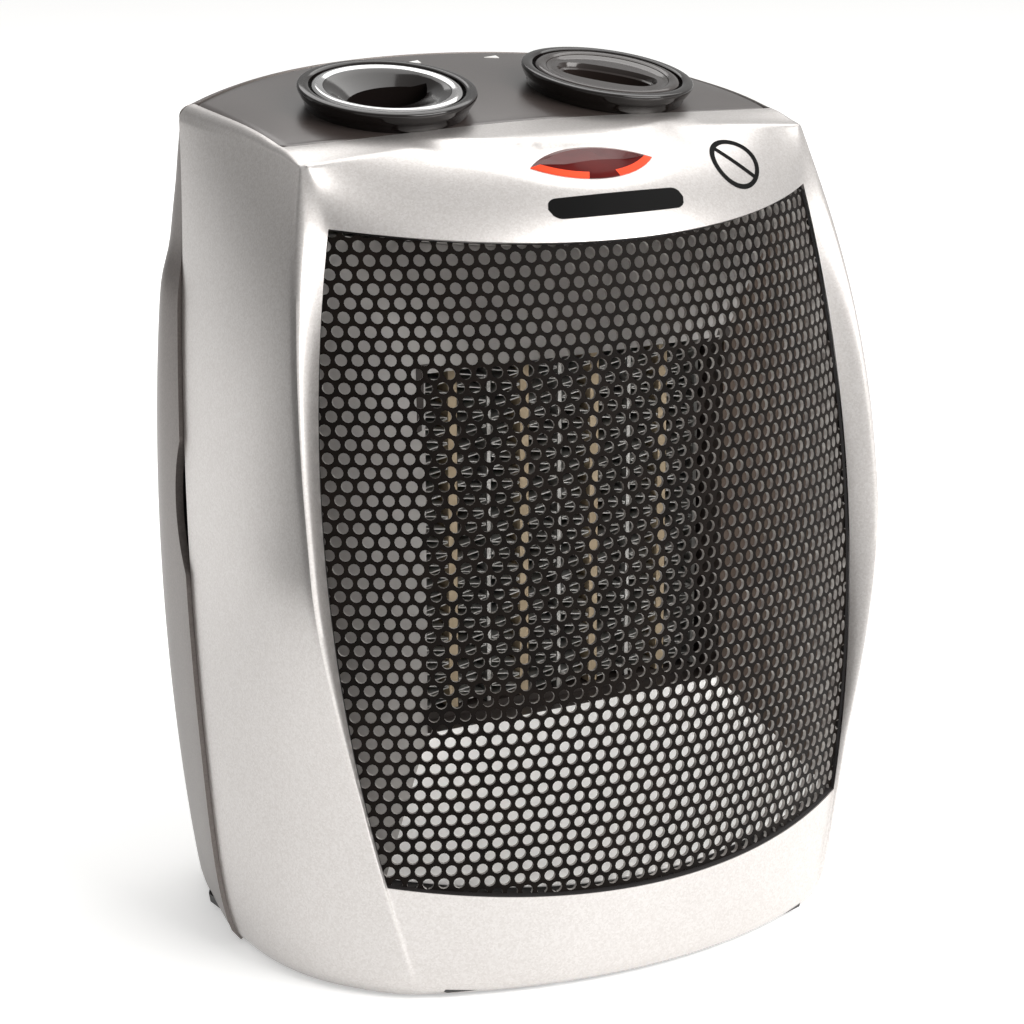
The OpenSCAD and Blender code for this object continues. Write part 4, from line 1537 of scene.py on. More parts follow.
@dataclass
class Lens:
    """The almond lens in its pocket on the brow."""

    form: Form
    make: Maker
    half_length: float = 18.6
    half_height: float = 7.2
    slope: float = 0.466
    tip: tuple[float, float] = (-41.1, 212.0)
    bevel: float = 1.7
    crown: float = 1.7
    arc_points: int = 24
    seat: float = -2.5
    lip: float = 0.25
    brim: float = 0.95
    dark_middle: float = 4.5
    crest_share: float = 0.62
    crest_drop: float = -1.6
    crest_wave: float = 0.4
    crest_run: float = 6
    tip_grow: float = 1.6
    ledge_y: float = -34.3
    ledge_curve: float = 0.0098
    ledge_rise: float = 4.0
    pocket_ease: float = 0.0071

    @classmethod
    def pocket(cls, x: float, y: float) -> float:
        """Height of the pocket's floor at a distance from the middle, rising in a wall at its ledge.

        Args:
            x: the distance from the middle.
            y: how far back.

        Returns:
            The floor's height there.
        """
        ledge = cls.ledge_y + cls.ledge_curve * x * x
        slope = cls.slope - cls.pocket_ease * max(x - cls.half_length, 0.0)
        return cls.tip[1] + (y - cls.tip[0]) * slope + max(0.0, y - ledge) * cls.ledge_rise

    def outline(self, count: int, grow: float) -> list[tuple[float, float]]:
        """Almond outline in the lens's plane.

        Args:
            count: points along each of its two arcs.
            grow: how far it is grown.

        Returns:
            Points as (along, up the slope), from the left tip along the lower arc and back.
        """
        w, h = self.half_length + grow * self.tip_grow, self.half_height + grow
        r = (w * w + h * h) / (2 * h)
        a = np.linspace(-w, w, count + 1)
        lower = [(x, -float(np.sqrt(r * r - x * x) - (r - h))) for x in a]
        upper = [(x, float(np.sqrt(r * r - x * x) - (r - h))) for x in a[::-1]]
        return lower[:-1] + upper[:-1]

    def place(self, u: float, v: float, h: float) -> Point:
        """A point of the lens: u across, v up its slope and h out of it.

        Args:
            u: how far across.
            v: how far up its slope.
            h: how far out of it.

        Returns:
            The point in the part's frame.
        """
        angle = math.atan(self.slope)
        y = self.tip[0] + v * math.cos(angle) - h * math.sin(angle)
        z = self.tip[1] + v * math.sin(angle) + h * math.cos(angle)
        return (u, y, z)

    def build(self) -> None:
        """Makes the lens and its seating."""
        rim = self.outline(self.arc_points, 0.0)
        inner = self.outline(self.arc_points, -self.bevel)
        share, drop = self.crest_share, self.crest_drop
        wave, run = self.crest_wave, self.crest_run
        crest = [(u * share, drop + wave * math.cos(u / run), self.crown) for u, _ in inner]
        sheet = Sheet()
        size = len(rim)
        for i in range(size):
            j = (i + 1) % size
            low = [self.place(*rim[i], self.seat), self.place(*rim[j], self.seat)]
            edge = [self.place(*rim[i], self.lip), self.place(*rim[j], self.lip)]
            brim = [self.place(*inner[i], self.brim), self.place(*inner[j], self.brim)]
            top = [self.place(*crest[i]), self.place(*crest[j])]
            lower_half = (rim[i][1] + rim[j][1]) < 0
            middle = abs(rim[i][0] + rim[j][0]) / 2 < self.dark_middle
            lit = 1 if lower_half and not middle else 0
            sheet.face([low[0], low[1], edge[1], edge[0]], lit)
            sheet.face([edge[0], edge[1], brim[1], brim[0]], lit)
            sheet.face([brim[0], brim[1], top[1], top[0]], 0)
        bm = sheet.mesh("lens", 0.004)
        face_out(bm, (0, -36, 200))
        finishes = [Palette.red_lens, Palette.lens_edge]
        self.make.piece("lens_crown", bm, finishes, "red_lens", ["indicator_lens"], sharp=14)


@dataclass
class BrowMarks:
    """The dark pill badge and the ring mark, laid on the brow."""

    form: Form
    make: Maker
    lift: float = 0.12
    sink: float = 0.6
    pill: tuple[float, float] = (42.0, 6.4)
    pill_at: tuple[float, float] = (0.0, 0.235)
    ring_radii: tuple[float, float] = (7.1, 8.6)
    ring_at: tuple[float, float] = (46.5, 0.50)
    bar_width: float = 1.3
    bar_slant: float = -47

    def on_brow(self, x: float, w: float) -> tuple[np.ndarray, np.ndarray]:
        """A brow point and its outward direction.

        Args:
            x: how far across.
            w: nought at the opening's edge, one at the crease.

        Returns:
            The point and the direction.
        """
        step = 0.4
        here = self.form.brow(x, w)
        across = self.form.brow(x + step, w) - self.form.brow(x - step, w)
        up = self.form.brow(x, w + 0.01) - self.form.brow(x, w - 0.01)
        out = np.cross(across, up)
        return here, out / np.linalg.norm(out)

    def patch(self, sheet: Sheet, centre: tuple[float, float], rows: np.ndarray) -> None:
        """Lays a grid of flat points (across, up the slope, in millimetres) on the brow as a thin solid.

        Args:
            sheet: what it is added to.
            centre: the brow's x and w at the patch's middle.
            rows: the grid of points, across and up the slope.
        """
        x0, w0 = centre
        step = 0.02
        rate = np.linalg.norm(self.form.brow(x0, w0 + step) - self.form.brow(x0, w0 - step)) / (2 * step)
        top = np.empty((*rows.shape[:2], 3))
        bottom = np.empty_like(top)
        for i, row in enumerate(rows):
            for j, (u, v) in enumerate(row):
                here, out = self.on_brow(x0 + u, w0 + v / rate)
                top[i, j] = here + out * self.lift
                bottom[i, j] = here - out * self.sink
        sheet.grid(top)
        sheet.grid(bottom[:, ::-1])
        for a, b in zip((top[0], top[-1], top[:, 0], top[:, -1]),
                        (bottom[0], bottom[-1], bottom[:, 0], bottom[:, -1])):
            sheet.grid(np.array([a, b]))

    def badge(self) -> None:
        """A plain dark pill in place of a name."""
        length, height = self.pill
        columns = np.linspace(-1, 1, 61)
        u = columns * length / 2
        over = np.maximum(np.abs(u) - (length - height) / 2, 0)
        half = np.sqrt(np.maximum((height / 2) ** 2 - over ** 2, 0.0004))
        rows = np.array([np.stack([u, half * v], 1) for v in np.linspace(-1, 1, 9)])
        sheet = Sheet()
        self.patch(sheet, self.pill_at, rows)
        bm = sheet.mesh("badge", 0.003)
        bmesh.ops.recalc_face_normals(bm, faces=bm.faces)
        self.make.piece("badge_pill", bm, [Palette.dark_print], "dark_print", ["front_badge"])

    def ring(self) -> None:
        """A ring with a slanting bar, a plain mark without a picture."""
        inner, outer = self.ring_radii
        turn = np.linspace(0, 2 * math.pi, 73)
        rows = np.array([np.stack([r * np.cos(turn), r * np.sin(turn)], 1) for r in (inner, outer)])
        sheet = Sheet()
        self.patch(sheet, self.ring_at, rows)
        along = np.linspace(-inner - 0.2, inner + 0.2, 25)
        slant = math.radians(self.bar_slant)
        c, s = math.cos(slant), math.sin(slant)
        strip = np.array([
            np.stack([along * c - side * s, along * s + side * c], 1)
            for side in (-self.bar_width / 2, self.bar_width / 2)
        ])
        self.patch(sheet, self.ring_at, strip)
        bm = sheet.mesh("ring", 0.003)
        bmesh.ops.recalc_face_normals(bm, faces=bm.faces)
        self.make.piece("ring_print", bm, [Palette.dark_print], "dark_print", ["ring_mark"])

    def build(self) -> None:
        """Makes both marks."""
        self.badge()
        self.ring()


# ---------------------------------------------------------------- knobs


class Hollow(Enum):
    """The outline of a knob's finger hollow."""

    ALMOND = "almond"
    OVAL = "oval"


@dataclass
class Knob:
    """One knob: its fixed collar, its ring and its bowl with a finger hollow."""

    form: Form
    make: Maker
    side: int
    body: str
    label: str
    hollow_length: float
    hollow_width: float
    hollow_turn: float
    bowl: Finish
    bowl_slot: str
    ring: Finish
    ring_slot: str
    hollow: Hollow
    ring_r: float = 20.0
    ring_in: float = 16.9
    brim: float = 4.9
    depth: float = 11.0
    turns: int = 96
    wall: float = 0.9
    tuck_under: float = 0.6
    slope_rows: int = 8
    almond_drop: float = 2.6
    oval_drop: float = 0.5
    oval_power: float = 2.5
    full_room: float = 4
    least_share: float = 0.15
    oval_rim: tuple[tuple[float, float], ...] = ((0.985, 0.2), (0.95, 1.3), (0.93, 1.4))

    def lathe(self, profile: Sequence[tuple[float, float]], sheet: Sheet) -> None:
        """Turns a profile of (radius, height) round the knob's axis into a closed sheet of quads.

        Args:
            profile: the profile, from the inside round to the start.
            sheet: what it is added to.
        """
        angle = np.linspace(0, 2 * math.pi, self.turns + 1)[:-1]
        rows = [self.to_frame(np.stack([r * np.cos(angle), r * np.sin(angle), np.full_like(angle, h)], 1))
                for r, h in profile]
        sheet.grid(np.array(rows), wrap=True)

    def to_frame(self, points: np.ndarray) -> np.ndarray:
        """Moves points from the knob's own frame to the part's frame."""
        origin, ex, ey, ez = self.form.knob_frame(self.side)
        return origin + points[..., :1] * ex + points[..., 1:2] * ey + points[..., 2:3] * ez

    def collar(self, sheet: Sheet) -> None:
        """Adds the fixed collar: a skirt that flares up to a rounded lip over the dark groove.

        Args:
            sheet: what it is added to.
        """
        lip = [(23.4 + 0.5 * math.cos(a), 4.7 + 0.7 * math.sin(a)) for a in np.linspace(-0.9, 1.5, 8)]
        profile = [
            (18.5, 0.0), (21.6, -0.2), (21.9, 0.5), (22.1, 1.6), (22.7, 2.2), (23.3, 3.2), *lip,
            (22.2, 5.55), (21.3, 5.5), (20.9, 5.2), (20.8, 4.6), (20.8, 2.0), (18.5, 2.0), (18.5, 0.0),
        ]
        self.lathe(profile, sheet)

    def hollow_edge(self, angle: np.ndarray) -> np.ndarray:
        """Radius of the finger hollow's edge in each direction.

        Args:
            angle: the directions round the knob, in radians.

        Returns:
            A radius for each.
        """
        a = angle - math.radians(self.hollow_turn)
        length, width = self.hollow_length / 2, self.hollow_width / 2
        if self.hollow is Hollow.ALMOND:
            r = (length * length + width * width) / (2 * width)
            c = r - width
            return -c * np.abs(np.sin(a)) + np.sqrt(r * r - (c * np.cos(a)) ** 2)
        power = self.oval_power
        return (np.abs(np.cos(a) / length) ** power + np.abs(np.sin(a) / width) ** power) ** (-1 / power)

    def bowl_sheet(self) -> Sheet:
        """The bowl: from the ring's inner edge down facets to the hollow, its wall and its floor.

        Returns:
            The bowl as a sheet.
        """
        angle = np.linspace(0, 2 * math.pi, self.turns + 1)[:-1]
        rows = []

        def add(radius: np.ndarray, height: Value) -> None:
            """Adds one closed row of the bowl."""
            level = np.full_like(angle, 1.0) * height
            rows.append(self.to_frame(np.stack([radius * np.cos(angle), radius * np.sin(angle), level], 1)))

        full = np.full_like(angle, self.ring_in)
        edge = self.hollow_edge(angle)
        add(full + self.tuck_under, self.brim - 0.7)
        add(full, self.brim)
        almond = self.hollow is Hollow.ALMOND
        drop = self.almond_drop if almond else self.oval_drop
        room = np.maximum(self.ring_in - 0.5 - edge, 0.0)
        share = np.clip(room / self.full_room, self.least_share, 1)
        for t in np.arange(1, self.slope_rows + 1) / self.slope_rows:
            fall = t if almond else smooth(t * 4)
            add(mix(full - 0.5, edge, t), self.brim - drop * fall * share)
        rim_height = self.brim - drop * share
        if not almond:
            for shrink, fall in self.oval_rim:
                add(edge * shrink, rim_height - fall)
            edge = edge * 0.90
        bottom = self.brim - self.depth
        for t in np.arange(1, self.slope_rows + 1) / self.slope_rows:
            add(edge * (1 - 0.10 * t), mix(rim_height - 0.4, bottom, t))
        for shrink in (0.7, 0.4, 0.02):
            add(edge * shrink, bottom - 0.25)
        sheet = Sheet()
        sheet.grid(np.array(rows), wrap=True)
        return sheet

    def build(self) -> None:
        """Makes the ring and the bowl; the collars are made together."""
        sheet = Sheet()
        profile = [(self.ring_in, 3.9), (self.ring_r - 0.4, 3.9), (self.ring_r, 4.3), (self.ring_r, 4.9),
                   (self.ring_r - 0.4, 5.3), (self.ring_r - 1.2, 5.5), (self.ring_in + 0.9, 5.35),
                   (self.ring_in + 0.2, 5.05), (self.ring_in, 4.5), (self.ring_in, 3.9)]
        self.lathe(profile, sheet)
        bm = sheet.mesh("ring")
        bmesh.ops.recalc_face_normals(bm, faces=bm.faces)
        trim, knob = [f"{self.label}_trim"], [f"{self.label}_knob"]
        self.make.piece(f"{self.label}_ring", bm, [self.ring], self.ring_slot, trim, self.body)
        bm = self.bowl_sheet().mesh("bowl", 0.004)
        origin, _, _, ez = self.form.knob_frame(self.side)
        middle, near = Vector(origin), self.ring_in / 2
        rims = [e for e in bm.edges if e.is_boundary]
        inner = [e for e in rims if ((e.verts[0].co + e.verts[1].co) / 2 - middle).length < near]
        bmesh.ops.holes_fill(bm, edges=inner, sides=0)
        face_out(bm, origin - ez * 60)
        self.make.piece(
            f"{self.label}_bowl", bm, [self.bowl], self.bowl_slot, knob, self.body, sharp=28,
            modifiers=[("SOLIDIFY", {"thickness": self.wall * MM, "offset": -1.0})],
        )


@dataclass
class Controls:
    """Both knobs and their collars."""

    form: Form
    make: Maker

    def build(self) -> None:
        """Makes the controls."""
        left = Knob(
            self.form, self.make, side=-1, body="thermostat_dial", label="thermostat",
            hollow_length=29.0, hollow_width=15.5, hollow_turn=15.0, hollow=Hollow.ALMOND,
            bowl=Palette.black_gloss, bowl_slot="black_gloss",
            ring=Palette.chrome_trim, ring_slot="chrome_trim",
        )
        right = Knob(
            self.form, self.make, side=1, body="mode_dial", label="mode",
            hollow_length=28.0, hollow_width=16.0, hollow_turn=-41.0, hollow=Hollow.OVAL,
            bowl=Palette.knob_brown, bowl_slot="knob_brown",
            ring=Palette.knob_brown, ring_slot="knob_brown",
        )
        sheet = Sheet()
        for knob in (left, right):
            knob.build()
            knob.collar(sheet)
        bm = sheet.mesh("collars")
        bmesh.ops.recalc_face_normals(bm, faces=bm.faces)
        finishes = [Palette.black_gloss]
        self.make.piece("knob_collar_pair", bm, finishes, "black_gloss", ["knob_collars"], sharp=40)


# ---------------------------------------------------------------- air path


class Tree:
    """A geometry node tree with named inputs, run once and turned into a plain mesh."""

    def __init__(self, name: str) -> None:
        """Makes an empty tree with a geometry output.

        Args:
            name: the tree's name.
        """
        self.tree = bpy.data.node_groups.new(name, "GeometryNodeTree")
        self.tree.interface.new_socket("Geometry", in_out="OUTPUT", socket_type="NodeSocketGeometry")
        self.graph = Graph(self.tree)
        self.entry = self.tree.nodes.new("NodeGroupInput")
        self.values: dict[str, object] = {}

    def input(self, name: str, value: object, kind: str = "NodeSocketFloat") -> Wire:
        """Adds a named input.

        Args:
            name: the input's name.
            value: what the modifier gives it.
            kind: its socket type.

        Returns:
            The input inside the tree.
        """
        self.tree.interface.new_socket(name, in_out="INPUT", socket_type=kind)
        self.values[name] = value
        return Wire(self.graph, self.entry.outputs[name])

    def run(self, result: Wire, name: str, finish: Finish) -> bpy.types.Object:
        """Ends the tree in Realize Instances and Set Material, and evaluates it.

        Args:
            result: the geometry.
            name: the object's name.
            finish: its finish.

        Returns:
            An object with a plain mesh in metres.
        """
        material = self.input("Finish", finish.build(), "NodeSocketMaterial")
        real = self.graph.add("GeometryNodeRealizeInstances", inputs={0: result})
        dressed = self.graph.add("GeometryNodeSetMaterial", inputs={"Geometry": real, "Material": material})
        self.graph.add("NodeGroupOutput", inputs={0: dressed})
        obj = bpy.data.objects.new(name, bpy.data.meshes.new(name))
        bpy.context.scene.collection.objects.link(obj)
        modifier = obj.modifiers.new("Build", "NODES")
        modifier.node_group = self.tree
        for item in self.tree.interface.items_tree:
            if item.in_out == "INPUT":
                modifier[item.identifier] = self.values[item.name]
        Maker.apply(obj)
        return obj


@dataclass
class PerforatedSheet:
    """The bowed black sheet with round holes in staggered rows."""

    form: Form
    make: Maker
    pitch: float = 4.0
    hole_r: float = 1.47
    thick: float = 0.9
    inset: float = 0.3
    edge: float = 0.8
    columns: int = 46
    rows: int = 52
    lattice_drop: float = 9.0
    cell_weld: float = 0.05
    trim_weld: float = 0.12
    sliver: float = 1e-9

    def tile(self) -> bpy.types.Object:
        """One six-sided cell with a round hole, standing in the XZ plane.

        Returns:
            An object that holds the cell.
        """
        bm = bmesh.new()
        around = [math.radians(30 * i) for i in range(12)]
        across = self.pitch / 2
        inner = [bm.verts.new((self.hole_r * math.cos(a), 0, self.hole_r * math.sin(a))) for a in around]
        reach = [across if i % 2 == 0 else across / math.cos(math.radians(30)) for i in range(12)]
        outer = [bm.verts.new((r * math.cos(a), 0, r * math.sin(a))) for r, a in zip(reach, around)]
        for i in range(12):
            j = (i + 1) % 12
            bm.faces.new((inner[i], outer[i], outer[j], inner[j]))
        return to_object("sheet_cell", bm)

    def build(self) -> None:
        """Makes the sheet."""
        f = self.form
        cell = self.tile()
        tree = Tree("perforated_sheet")
        g = tree.graph
        pitch = tree.input("Hole Pitch", self.pitch * MM)
        across = tree.input("Columns", self.columns, "NodeSocketInt")
        up = tree.input("Rows", self.rows, "NodeSocketInt")
        shape = tree.input("Cell", cell, "NodeSocketObject")
        half = tree.input("Opening Half Width", (f.open_half + self.edge) * MM)
        side_r = tree.input("Opening Side Radius", f.open_side_r * MM)
        mid_z = tree.input("Opening Middle", f.open_mid_z * MM)
        top_z = tree.input("Opening Top", (f.open_top_z + self.edge) * MM)
        top_r = tree.input("Opening Top Radius", f.open_top_r * MM)
        low_z = tree.input("Opening Bottom", (f.open_bottom_z - self.edge) * MM)
        low_r = tree.input("Opening Bottom Radius", f.open_bottom_r * MM)
        plan_r = tree.input("Sheet Radius", (f.sheet_r - self.inset) * MM)
        axis_y = tree.input("Sheet Axis", (f.sheet_r - f.front_reach) * MM)
        lean_r = tree.input("Lean Radius", f.lean_r * MM)
        lean_z = tree.input("Lean Middle", f.lean_z * MM)

        def drop(radius: Wire, distance: Wire) -> Wire:
            """How far an arc falls away at a distance."""
            return radius - (radius * radius - distance * distance).maximum(0.0).root()

        def place() -> tuple[Wire, Wire]:
            """The current point's x and z."""
            parts = g.add("ShaderNodeSeparateXYZ", inputs={0: g.add("GeometryNodeInputPosition")})
            return g.side(parts, "X"), g.side(parts, "Z")

        row_gap = pitch * math.cos(math.radians(30))
        lattice = g.add(
            "GeometryNodeMeshGrid",
            inputs={"Size X": (across - 1.0) * pitch, "Size Y": (up - 1.0) * row_gap,
                    "Vertices X": across, "Vertices Y": up},
        )
        parts = g.add("ShaderNodeSeparateXYZ", inputs={0: g.add("GeometryNodeInputPosition")})
        x, y = g.side(parts, "X"), g.side(parts, "Y")
        row = (y / row_gap + up * 0.5 + 0.25).math("FLOOR")
        shift = row.math("MODULO", 2.0) * pitch * 0.5
        height = y + mid_z - self.lattice_drop * MM
        stood = g.add("ShaderNodeCombineXYZ", inputs={0: x + shift, 1: 0.0, 2: height})
        lattice = g.add("GeometryNodeSetPosition", inputs={"Geometry": lattice, "Position": stood})
        x, z = place()
        reach = half - drop(side_r, z - mid_z) + pitch * 0.5
        bent = (x / plan_r).math("SINE") * plan_r
        outside = (
            reach.less(bent.math("ABSOLUTE"))
            + (top_z + drop(top_r, bent) + pitch * 0.5).less(z)
            + z.less(low_z + drop(low_r, bent) - pitch * 0.5)
        )
        kept = g.add(
            "GeometryNodeDeleteGeometry", {"domain": "POINT"},
            {"Geometry": lattice, "Selection": outside.math("GREATER_THAN", 0.5)},
        )
        info = g.add("GeometryNodeObjectInfo", inputs={"Object": shape}, out="Geometry")
        cells = g.add("GeometryNodeInstanceOnPoints", inputs={"Points": kept, "Instance": info})
        cells = g.add("GeometryNodeRealizeInstances", inputs={0: cells})
        weld = {"Geometry": cells, "Distance": self.cell_weld * MM}
        cells = g.add("GeometryNodeMergeByDistance", inputs=weld)
        x, z = place()
        bent = (x / plan_r).math("SINE") * plan_r
        z = z.minimum(top_z + drop(top_r, bent)).maximum(low_z + drop(low_r, bent))
        reach = half - drop(side_r, z - mid_z)
        bent = bent.minimum(reach).maximum(reach * -1.0)
        trimmed = g.add("ShaderNodeCombineXYZ", inputs={0: bent, 1: 0.0, 2: z})
        cells = g.add("GeometryNodeSetPosition", inputs={"Geometry": cells, "Position": trimmed})
        weld = {"Geometry": cells, "Distance": self.trim_weld * MM}
        cells = g.add("GeometryNodeMergeByDistance", inputs=weld)
        x, z = place()
        radius = plan_r - drop(lean_r, z - lean_z)
        y = axis_y - (radius * radius - x * x).root()
        bowed = g.add("ShaderNodeCombineXYZ", inputs={0: x, 1: y, 2: z})
        cells = g.add("GeometryNodeSetPosition", inputs={"Geometry": cells, "Position": bowed})
        obj = tree.run(cells, "perforated_sheet", Palette.grille_paint)
        bpy.data.objects.remove(cell)
        bm = bmesh.new()
        bm.from_mesh(obj.data)
        thin = [face for face in bm.faces if face.calc_area() < self.sliver]
        bmesh.ops.delete(bm, geom=thin, context="FACES")
        face_out(bm, (0, 0.06, 0.11))
        bm.to_mesh(obj.data)
        bm.free()
        solid = obj.modifiers.new("Thickness", "SOLIDIFY")
        solid.thickness = self.thick * MM
        solid.offset = -1.0
        solid.material_offset_rim = 1
        obj.data.materials.append(Palette.punched_edge.build())
        Maker.apply(obj)
        self.make.finish(obj, "grille_paint", ["front_grille"], sharp=40)


@dataclass
class Funnel:
    """The bright sheet-metal funnel from the element's outlet out to the back of the sheet, with painted light on its
    bottom wall and painted shade on its right wall.
    """

    form: Form
    make: Maker
    outlet: tuple[float, float, float, float] = (46.7, 63.4, 160.6, -35.5)
    inset: float = 1.6
    behind: float = 3.2
    rows: int = 14
    samples: int = 28
    thick: float = 0.7

    def rim(self, x: float, z: float) -> np.ndarray:
        """A point just behind the perforated sheet."""
        return np.array((x, float(self.form.sheet_y(x, z, -self.behind)), z))

    def wall(self, inner: Sequence[Point], outer: Sequence[np.ndarray], sheet: Sheet, mark: int) -> None:
        """Adds one ruled wall between an outlet edge and a rim edge, with its material number."""
        a, b = np.array(inner, float), np.array(outer, float)
        sheet.grid(np.array([mix(a, b, t) for t in np.linspace(0, 1, self.rows + 1)]), mark=mark)

    def build(self) -> None:
        """Makes the funnel."""
        f = self.form
        half, low, high, y = self.outlet
        corner_x, corner_z = f.corner()
        foot_x, foot_z = f.low_corner()
        corner_x, foot_x = corner_x - self.inset, foot_x - self.inset
        corner_z, foot_z = corner_z - self.inset, foot_z + self.inset
        t = np.linspace(-1, 1, self.samples + 1)
        s = np.linspace(0, 1, self.samples + 1)
        sheet = Sheet()
        top_out = [self.rim(u * corner_x, float(f.open_top(u * corner_x)) - self.inset) for u in t]
        self.wall([(u * half, y, high) for u in t], top_out, sheet, 0)
        low_out = [self.rim(u * foot_x, float(f.open_bottom(u * foot_x)) + self.inset) for u in t]
        # The bottom wall takes material 1, the painted light.
        self.wall([(u * half, y, low) for u in t], low_out, sheet, 1)
        for side in (-1, 1):
            heights = [mix(low_out[0][2], top_out[0][2], v) for v in s]
            edge = [self.rim(side * (float(f.half(z)) - self.inset), z) for z in heights]
            edge[0], edge[-1] = low_out[-1 if side > 0 else 0], top_out[-1 if side > 0 else 0]
            # The right wall takes material 2, the painted shade; the left wall keeps the plain metal.
            self.wall([(side * half, y, mix(low, high, v)) for v in s], edge, sheet, 2 if side > 0 else 0)
        bm = sheet.mesh("funnel", 0.05)
        face_out(bm, (0, -60, 112))
        self.make.piece(
            "outlet_funnel_skin", bm, [Palette.funnel_metal, Palette.funnel_bright, Palette.funnel_shade],
            "funnel_metal", ["outlet_funnel"], sharp=20,
            modifiers=[("SOLIDIFY", {"thickness": self.thick * MM, "offset": 1.0})],
        )


@dataclass
class FinStacks:
    """Corrugated fins between the ceramic bars and the electrode plates."""

    make: Maker
    bars: int = 4
    bar_pitch: float = 22.1
    stack_offset: float = 5.875
    stack_width: float = 8.7
    fins: int = 54
    lean_deg: float = 9.0
    thick: float = 0.28
    end_gap: float = 2

    def build(self) -> None:
        """Makes all the stacks with one node tree, inside the CAD fins' box."""
        low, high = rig.box("heat_fins")
        depth = high.y - low.y
        tree = Tree("fin_stacks")
        g = tree.graph
        count = tree.input("Fins", self.fins, "NodeSocketInt")
        gap = tree.input("Fin Gap", (high.z - low.z - self.end_gap * MM) / self.fins)
        width = tree.input("Stack Width", self.stack_width * MM)
        deep = tree.input("Depth", depth)
        metal = tree.input("Metal Thickness", self.thick * MM)
        lean = tree.input("Lean", math.radians(self.lean_deg))
        bars = tree.input("Bars", self.bars, "NodeSocketInt")
        bar_gap = tree.input("Bar Pitch", self.bar_pitch * MM)
        offset = tree.input("Stack Offset", self.stack_offset * MM)
        centre = tree.input("Centre", tuple((low + high) / 2), "NodeSocketVector")
        step = g.add("ShaderNodeCombineXYZ", inputs={2: gap})
        start = g.add("ShaderNodeCombineXYZ", inputs={2: (count - 1.0) * gap * -0.5})
        line = g.add(
            "GeometryNodeMeshLine", inputs={"Count": count, "Start Location": start, "Offset": step}
        )
        size = g.add("ShaderNodeCombineXYZ", inputs={0: width, 1: deep, 2: metal})
        fin = g.add("GeometryNodeMeshCube", inputs={"Size": size})
        odd = g.add("GeometryNodeInputIndex").math("MODULO", 2.0) * 2.0 - 1.0
        turn = g.add("ShaderNodeCombineXYZ", inputs={1: odd * lean})
        stack = g.add(
            "GeometryNodeInstanceOnPoints", inputs={"Points": line, "Instance": fin, "Rotation": turn}
        )
        stack = g.add("GeometryNodeRealizeInstances", inputs={0: stack})
        both = []
        for side in (-1.0, 1.0):
            move = g.add("ShaderNodeCombineXYZ", inputs={0: offset * side})
            both.append(g.add("GeometryNodeTransform", inputs={"Geometry": stack, "Translation": move}))
        pair = g.add("GeometryNodeJoinGeometry", inputs={0: both})
        bar_step = g.add("ShaderNodeCombineXYZ", inputs={0: bar_gap})
        bar_start = g.add("ShaderNodeCombineXYZ", inputs={0: (bars - 1.0) * bar_gap * -0.5})
        points = g.add(
            "GeometryNodeMeshLine",
            inputs={"Count": bars, "Start Location": bar_start, "Offset": bar_step},
        )
        block = g.add("GeometryNodeInstanceOnPoints", inputs={"Points": points, "Instance": pair})
        placed = g.add("GeometryNodeTransform", inputs={"Geometry": block, "Translation": centre})
        obj = tree.run(placed, "corrugated_fins", Palette.fin_aluminium)
        self.make.finish(obj, "fin_aluminium", ["heat_fins"], sharp=30)


# ---------------------------------------------------------------- the rest


def dress_nodes(frame: dict) -> None:
    """Gives every CAD node that is still shown the finish of its material slot.
    """
    for part in frame["record"]["subparts"]:
        node = frame["nodes"][part["node"]]
        finish = getattr(Palette, part["material_slot"])
        node.data.materials.clear()
        node.data.materials.append(finish.build())
        if not node.hide_render:
            LOG.info("%s: %s", part["node"], finish.name)


@dataclass(frozen=True)
class SoftBox:
    """One rectangular area light: its place, the point it faces, its size in metres and its watts."""

    name: str
    at: Point
    aim: Point
    size: tuple[float, float]
    watts: float
    tint: Colour = (1.0, 0.99, 0.975)

    def build(self) -> None:
        """Hangs the light."""
        data = bpy.data.lights.new(self.name, "AREA")
        data.shape = "RECTANGLE"
        data.size, data.size_y = self.size
        data.energy = self.watts
        data.color = self.tint
        obj = bpy.data.objects.new(self.name, data)
        obj.location = self.at
        obj.rotation_euler = (Vector(self.aim) - Vector(self.at)).to_track_quat("-Z", "Y").to_euler()
        bpy.context.scene.collection.objects.link(obj)


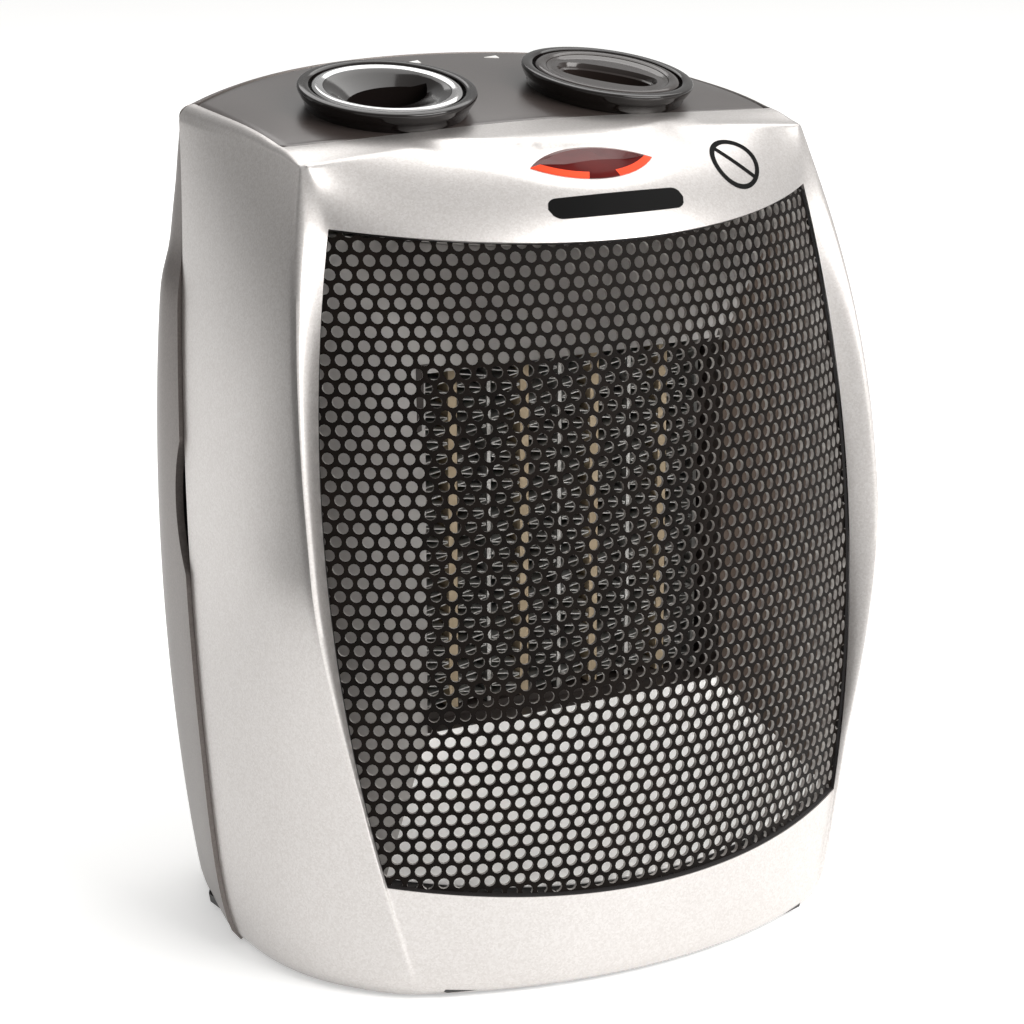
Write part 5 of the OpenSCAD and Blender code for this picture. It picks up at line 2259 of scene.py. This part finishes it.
@dataclass
class Studio:
    """Pale floor, soft lights, a black flag beside the object and the camera."""

    camera_at: Point = (-0.4165, -0.6901, 0.3235)
    yaw_deg: float = 31.162
    pitch_deg: float = 14.865
    lens_mm: float = 105.5
    floor_reach: float = 8.0
    boxes: tuple[SoftBox, ...] = (
        SoftBox("front_box", (0.75, -1.4, 1.10), (0.0, 0.0, 0.12), (1.4, 1.0), 39.0),
        SoftBox("top_box", (0.75, 0.75, 1.6), (0.0, 0.1, 0.0), (1.8, 1.2), 13.0),
        SoftBox("left_box", (-1.15, 0.95, 0.62), (-0.08, 0.0, 0.12), (0.9, 0.9), 1.1),
    )
    flag: tuple[Point, Point] = ((-0.43, -0.14, 0.0), (-0.31, 0.27, 0.25))
    ambient: float = 0.38
    ambient_swing: float = 0.42
    ambient_lean: Point = (0.55, 0.35, 0.6)
    darkest: float = -0.6

    def stand(self, name: str, corners: Sequence[Point], finish: Finish) -> bpy.types.Object:
        """Adds one flat rectangle that isn't part of the object.

        Args:
            name: its name.
            corners: its corners in metres.
            finish: its finish.

        Returns:
            The rectangle.
        """
        mesh = bpy.data.meshes.new(name)
        mesh.from_pydata(corners, [], [tuple(range(len(corners)))])
        mesh.materials.append(finish.build())
        obj = bpy.data.objects.new(name, mesh)
        bpy.context.scene.collection.objects.link(obj)
        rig.stage(obj)
        return obj

    def camera(self) -> None:
        """Sets up the camera."""
        scene = bpy.context.scene
        camera = bpy.data.objects.new("camera", bpy.data.cameras.new("camera"))
        camera.data.lens = self.lens_mm
        camera.data.clip_end = 100
        camera.location = self.camera_at
        camera.rotation_euler = (math.radians(90 - self.pitch_deg), 0, math.radians(-self.yaw_deg))
        scene.collection.objects.link(camera)
        scene.camera = camera

    def world(self) -> None:
        """Gives the room a soft light that is dimmer towards the left and the back."""
        world = bpy.data.worlds.new("studio")
        world.use_nodes = True
        world.node_tree.nodes.clear()
        graph = Graph(world.node_tree)
        way = graph.add("ShaderNodeSeparateXYZ", inputs={0: graph.add("ShaderNodeTexCoord")})
        x, y, z = (graph.side(way, axis) for axis in "XYZ")
        right, front, up = self.ambient_lean
        lit = (x * right - y * front + z * up).maximum(self.darkest).minimum(1.0)
        strength = lit * self.ambient_swing + self.ambient
        sky = graph.add(
            "ShaderNodeBackground", inputs={"Color": (1.0, 0.995, 0.985, 1.0), "Strength": strength}
        )
        graph.add("ShaderNodeOutputWorld", inputs={"Surface": sky})
        bpy.context.scene.world = world

    def build(self) -> None:
        """Sets the stage."""
        self.camera()
        r = self.floor_reach
        self.stand("floor", [(-r, -r, 0), (r, -r, 0), (r, r, 0), (-r, r, 0)], Palette.pale_floor)
        (x0, y0, z0), (x1, y1, z1) = self.flag
        corners = [(x0, y0, z0), (x1, y1, z0), (x1, y1, z1), (x0, y0, z1)]
        flag = self.stand("black_flag", corners, Palette.flag_cloth)
        flag.visible_camera = False
        flag.visible_shadow = False
        for box in self.boxes:
            box.build()
        self.world()
        bpy.context.scene.view_settings.view_transform = "Standard"


def main() -> None:
    """Builds the heater's visual model."""
    logging.basicConfig(level=logging.INFO, format="%(message)s")
    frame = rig.load()
    cad_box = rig.bounds()
    Studio().build()
    form, make = Form(), Maker()
    FrontShell(form, make).build()
    RearShell(form, make).build()
    TopPanel(form, make).build()
    Lens(form, make).build()
    BrowMarks(form, make).build()
    Controls(form, make).build()
    PerforatedSheet(form, make).build()
    Funnel(form, make).build()
    FinStacks(make).build()
    dress_nodes(frame)
    sizes = {"cad": [list(c) for c in cad_box], "visual": [list(c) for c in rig.bounds()]}
    with open("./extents.json", "w", encoding="utf-8") as out:
        json.dump(sizes, out)
    LOG.info("%d pieces made", len(make.made))


if __name__ == "__main__":
    main()
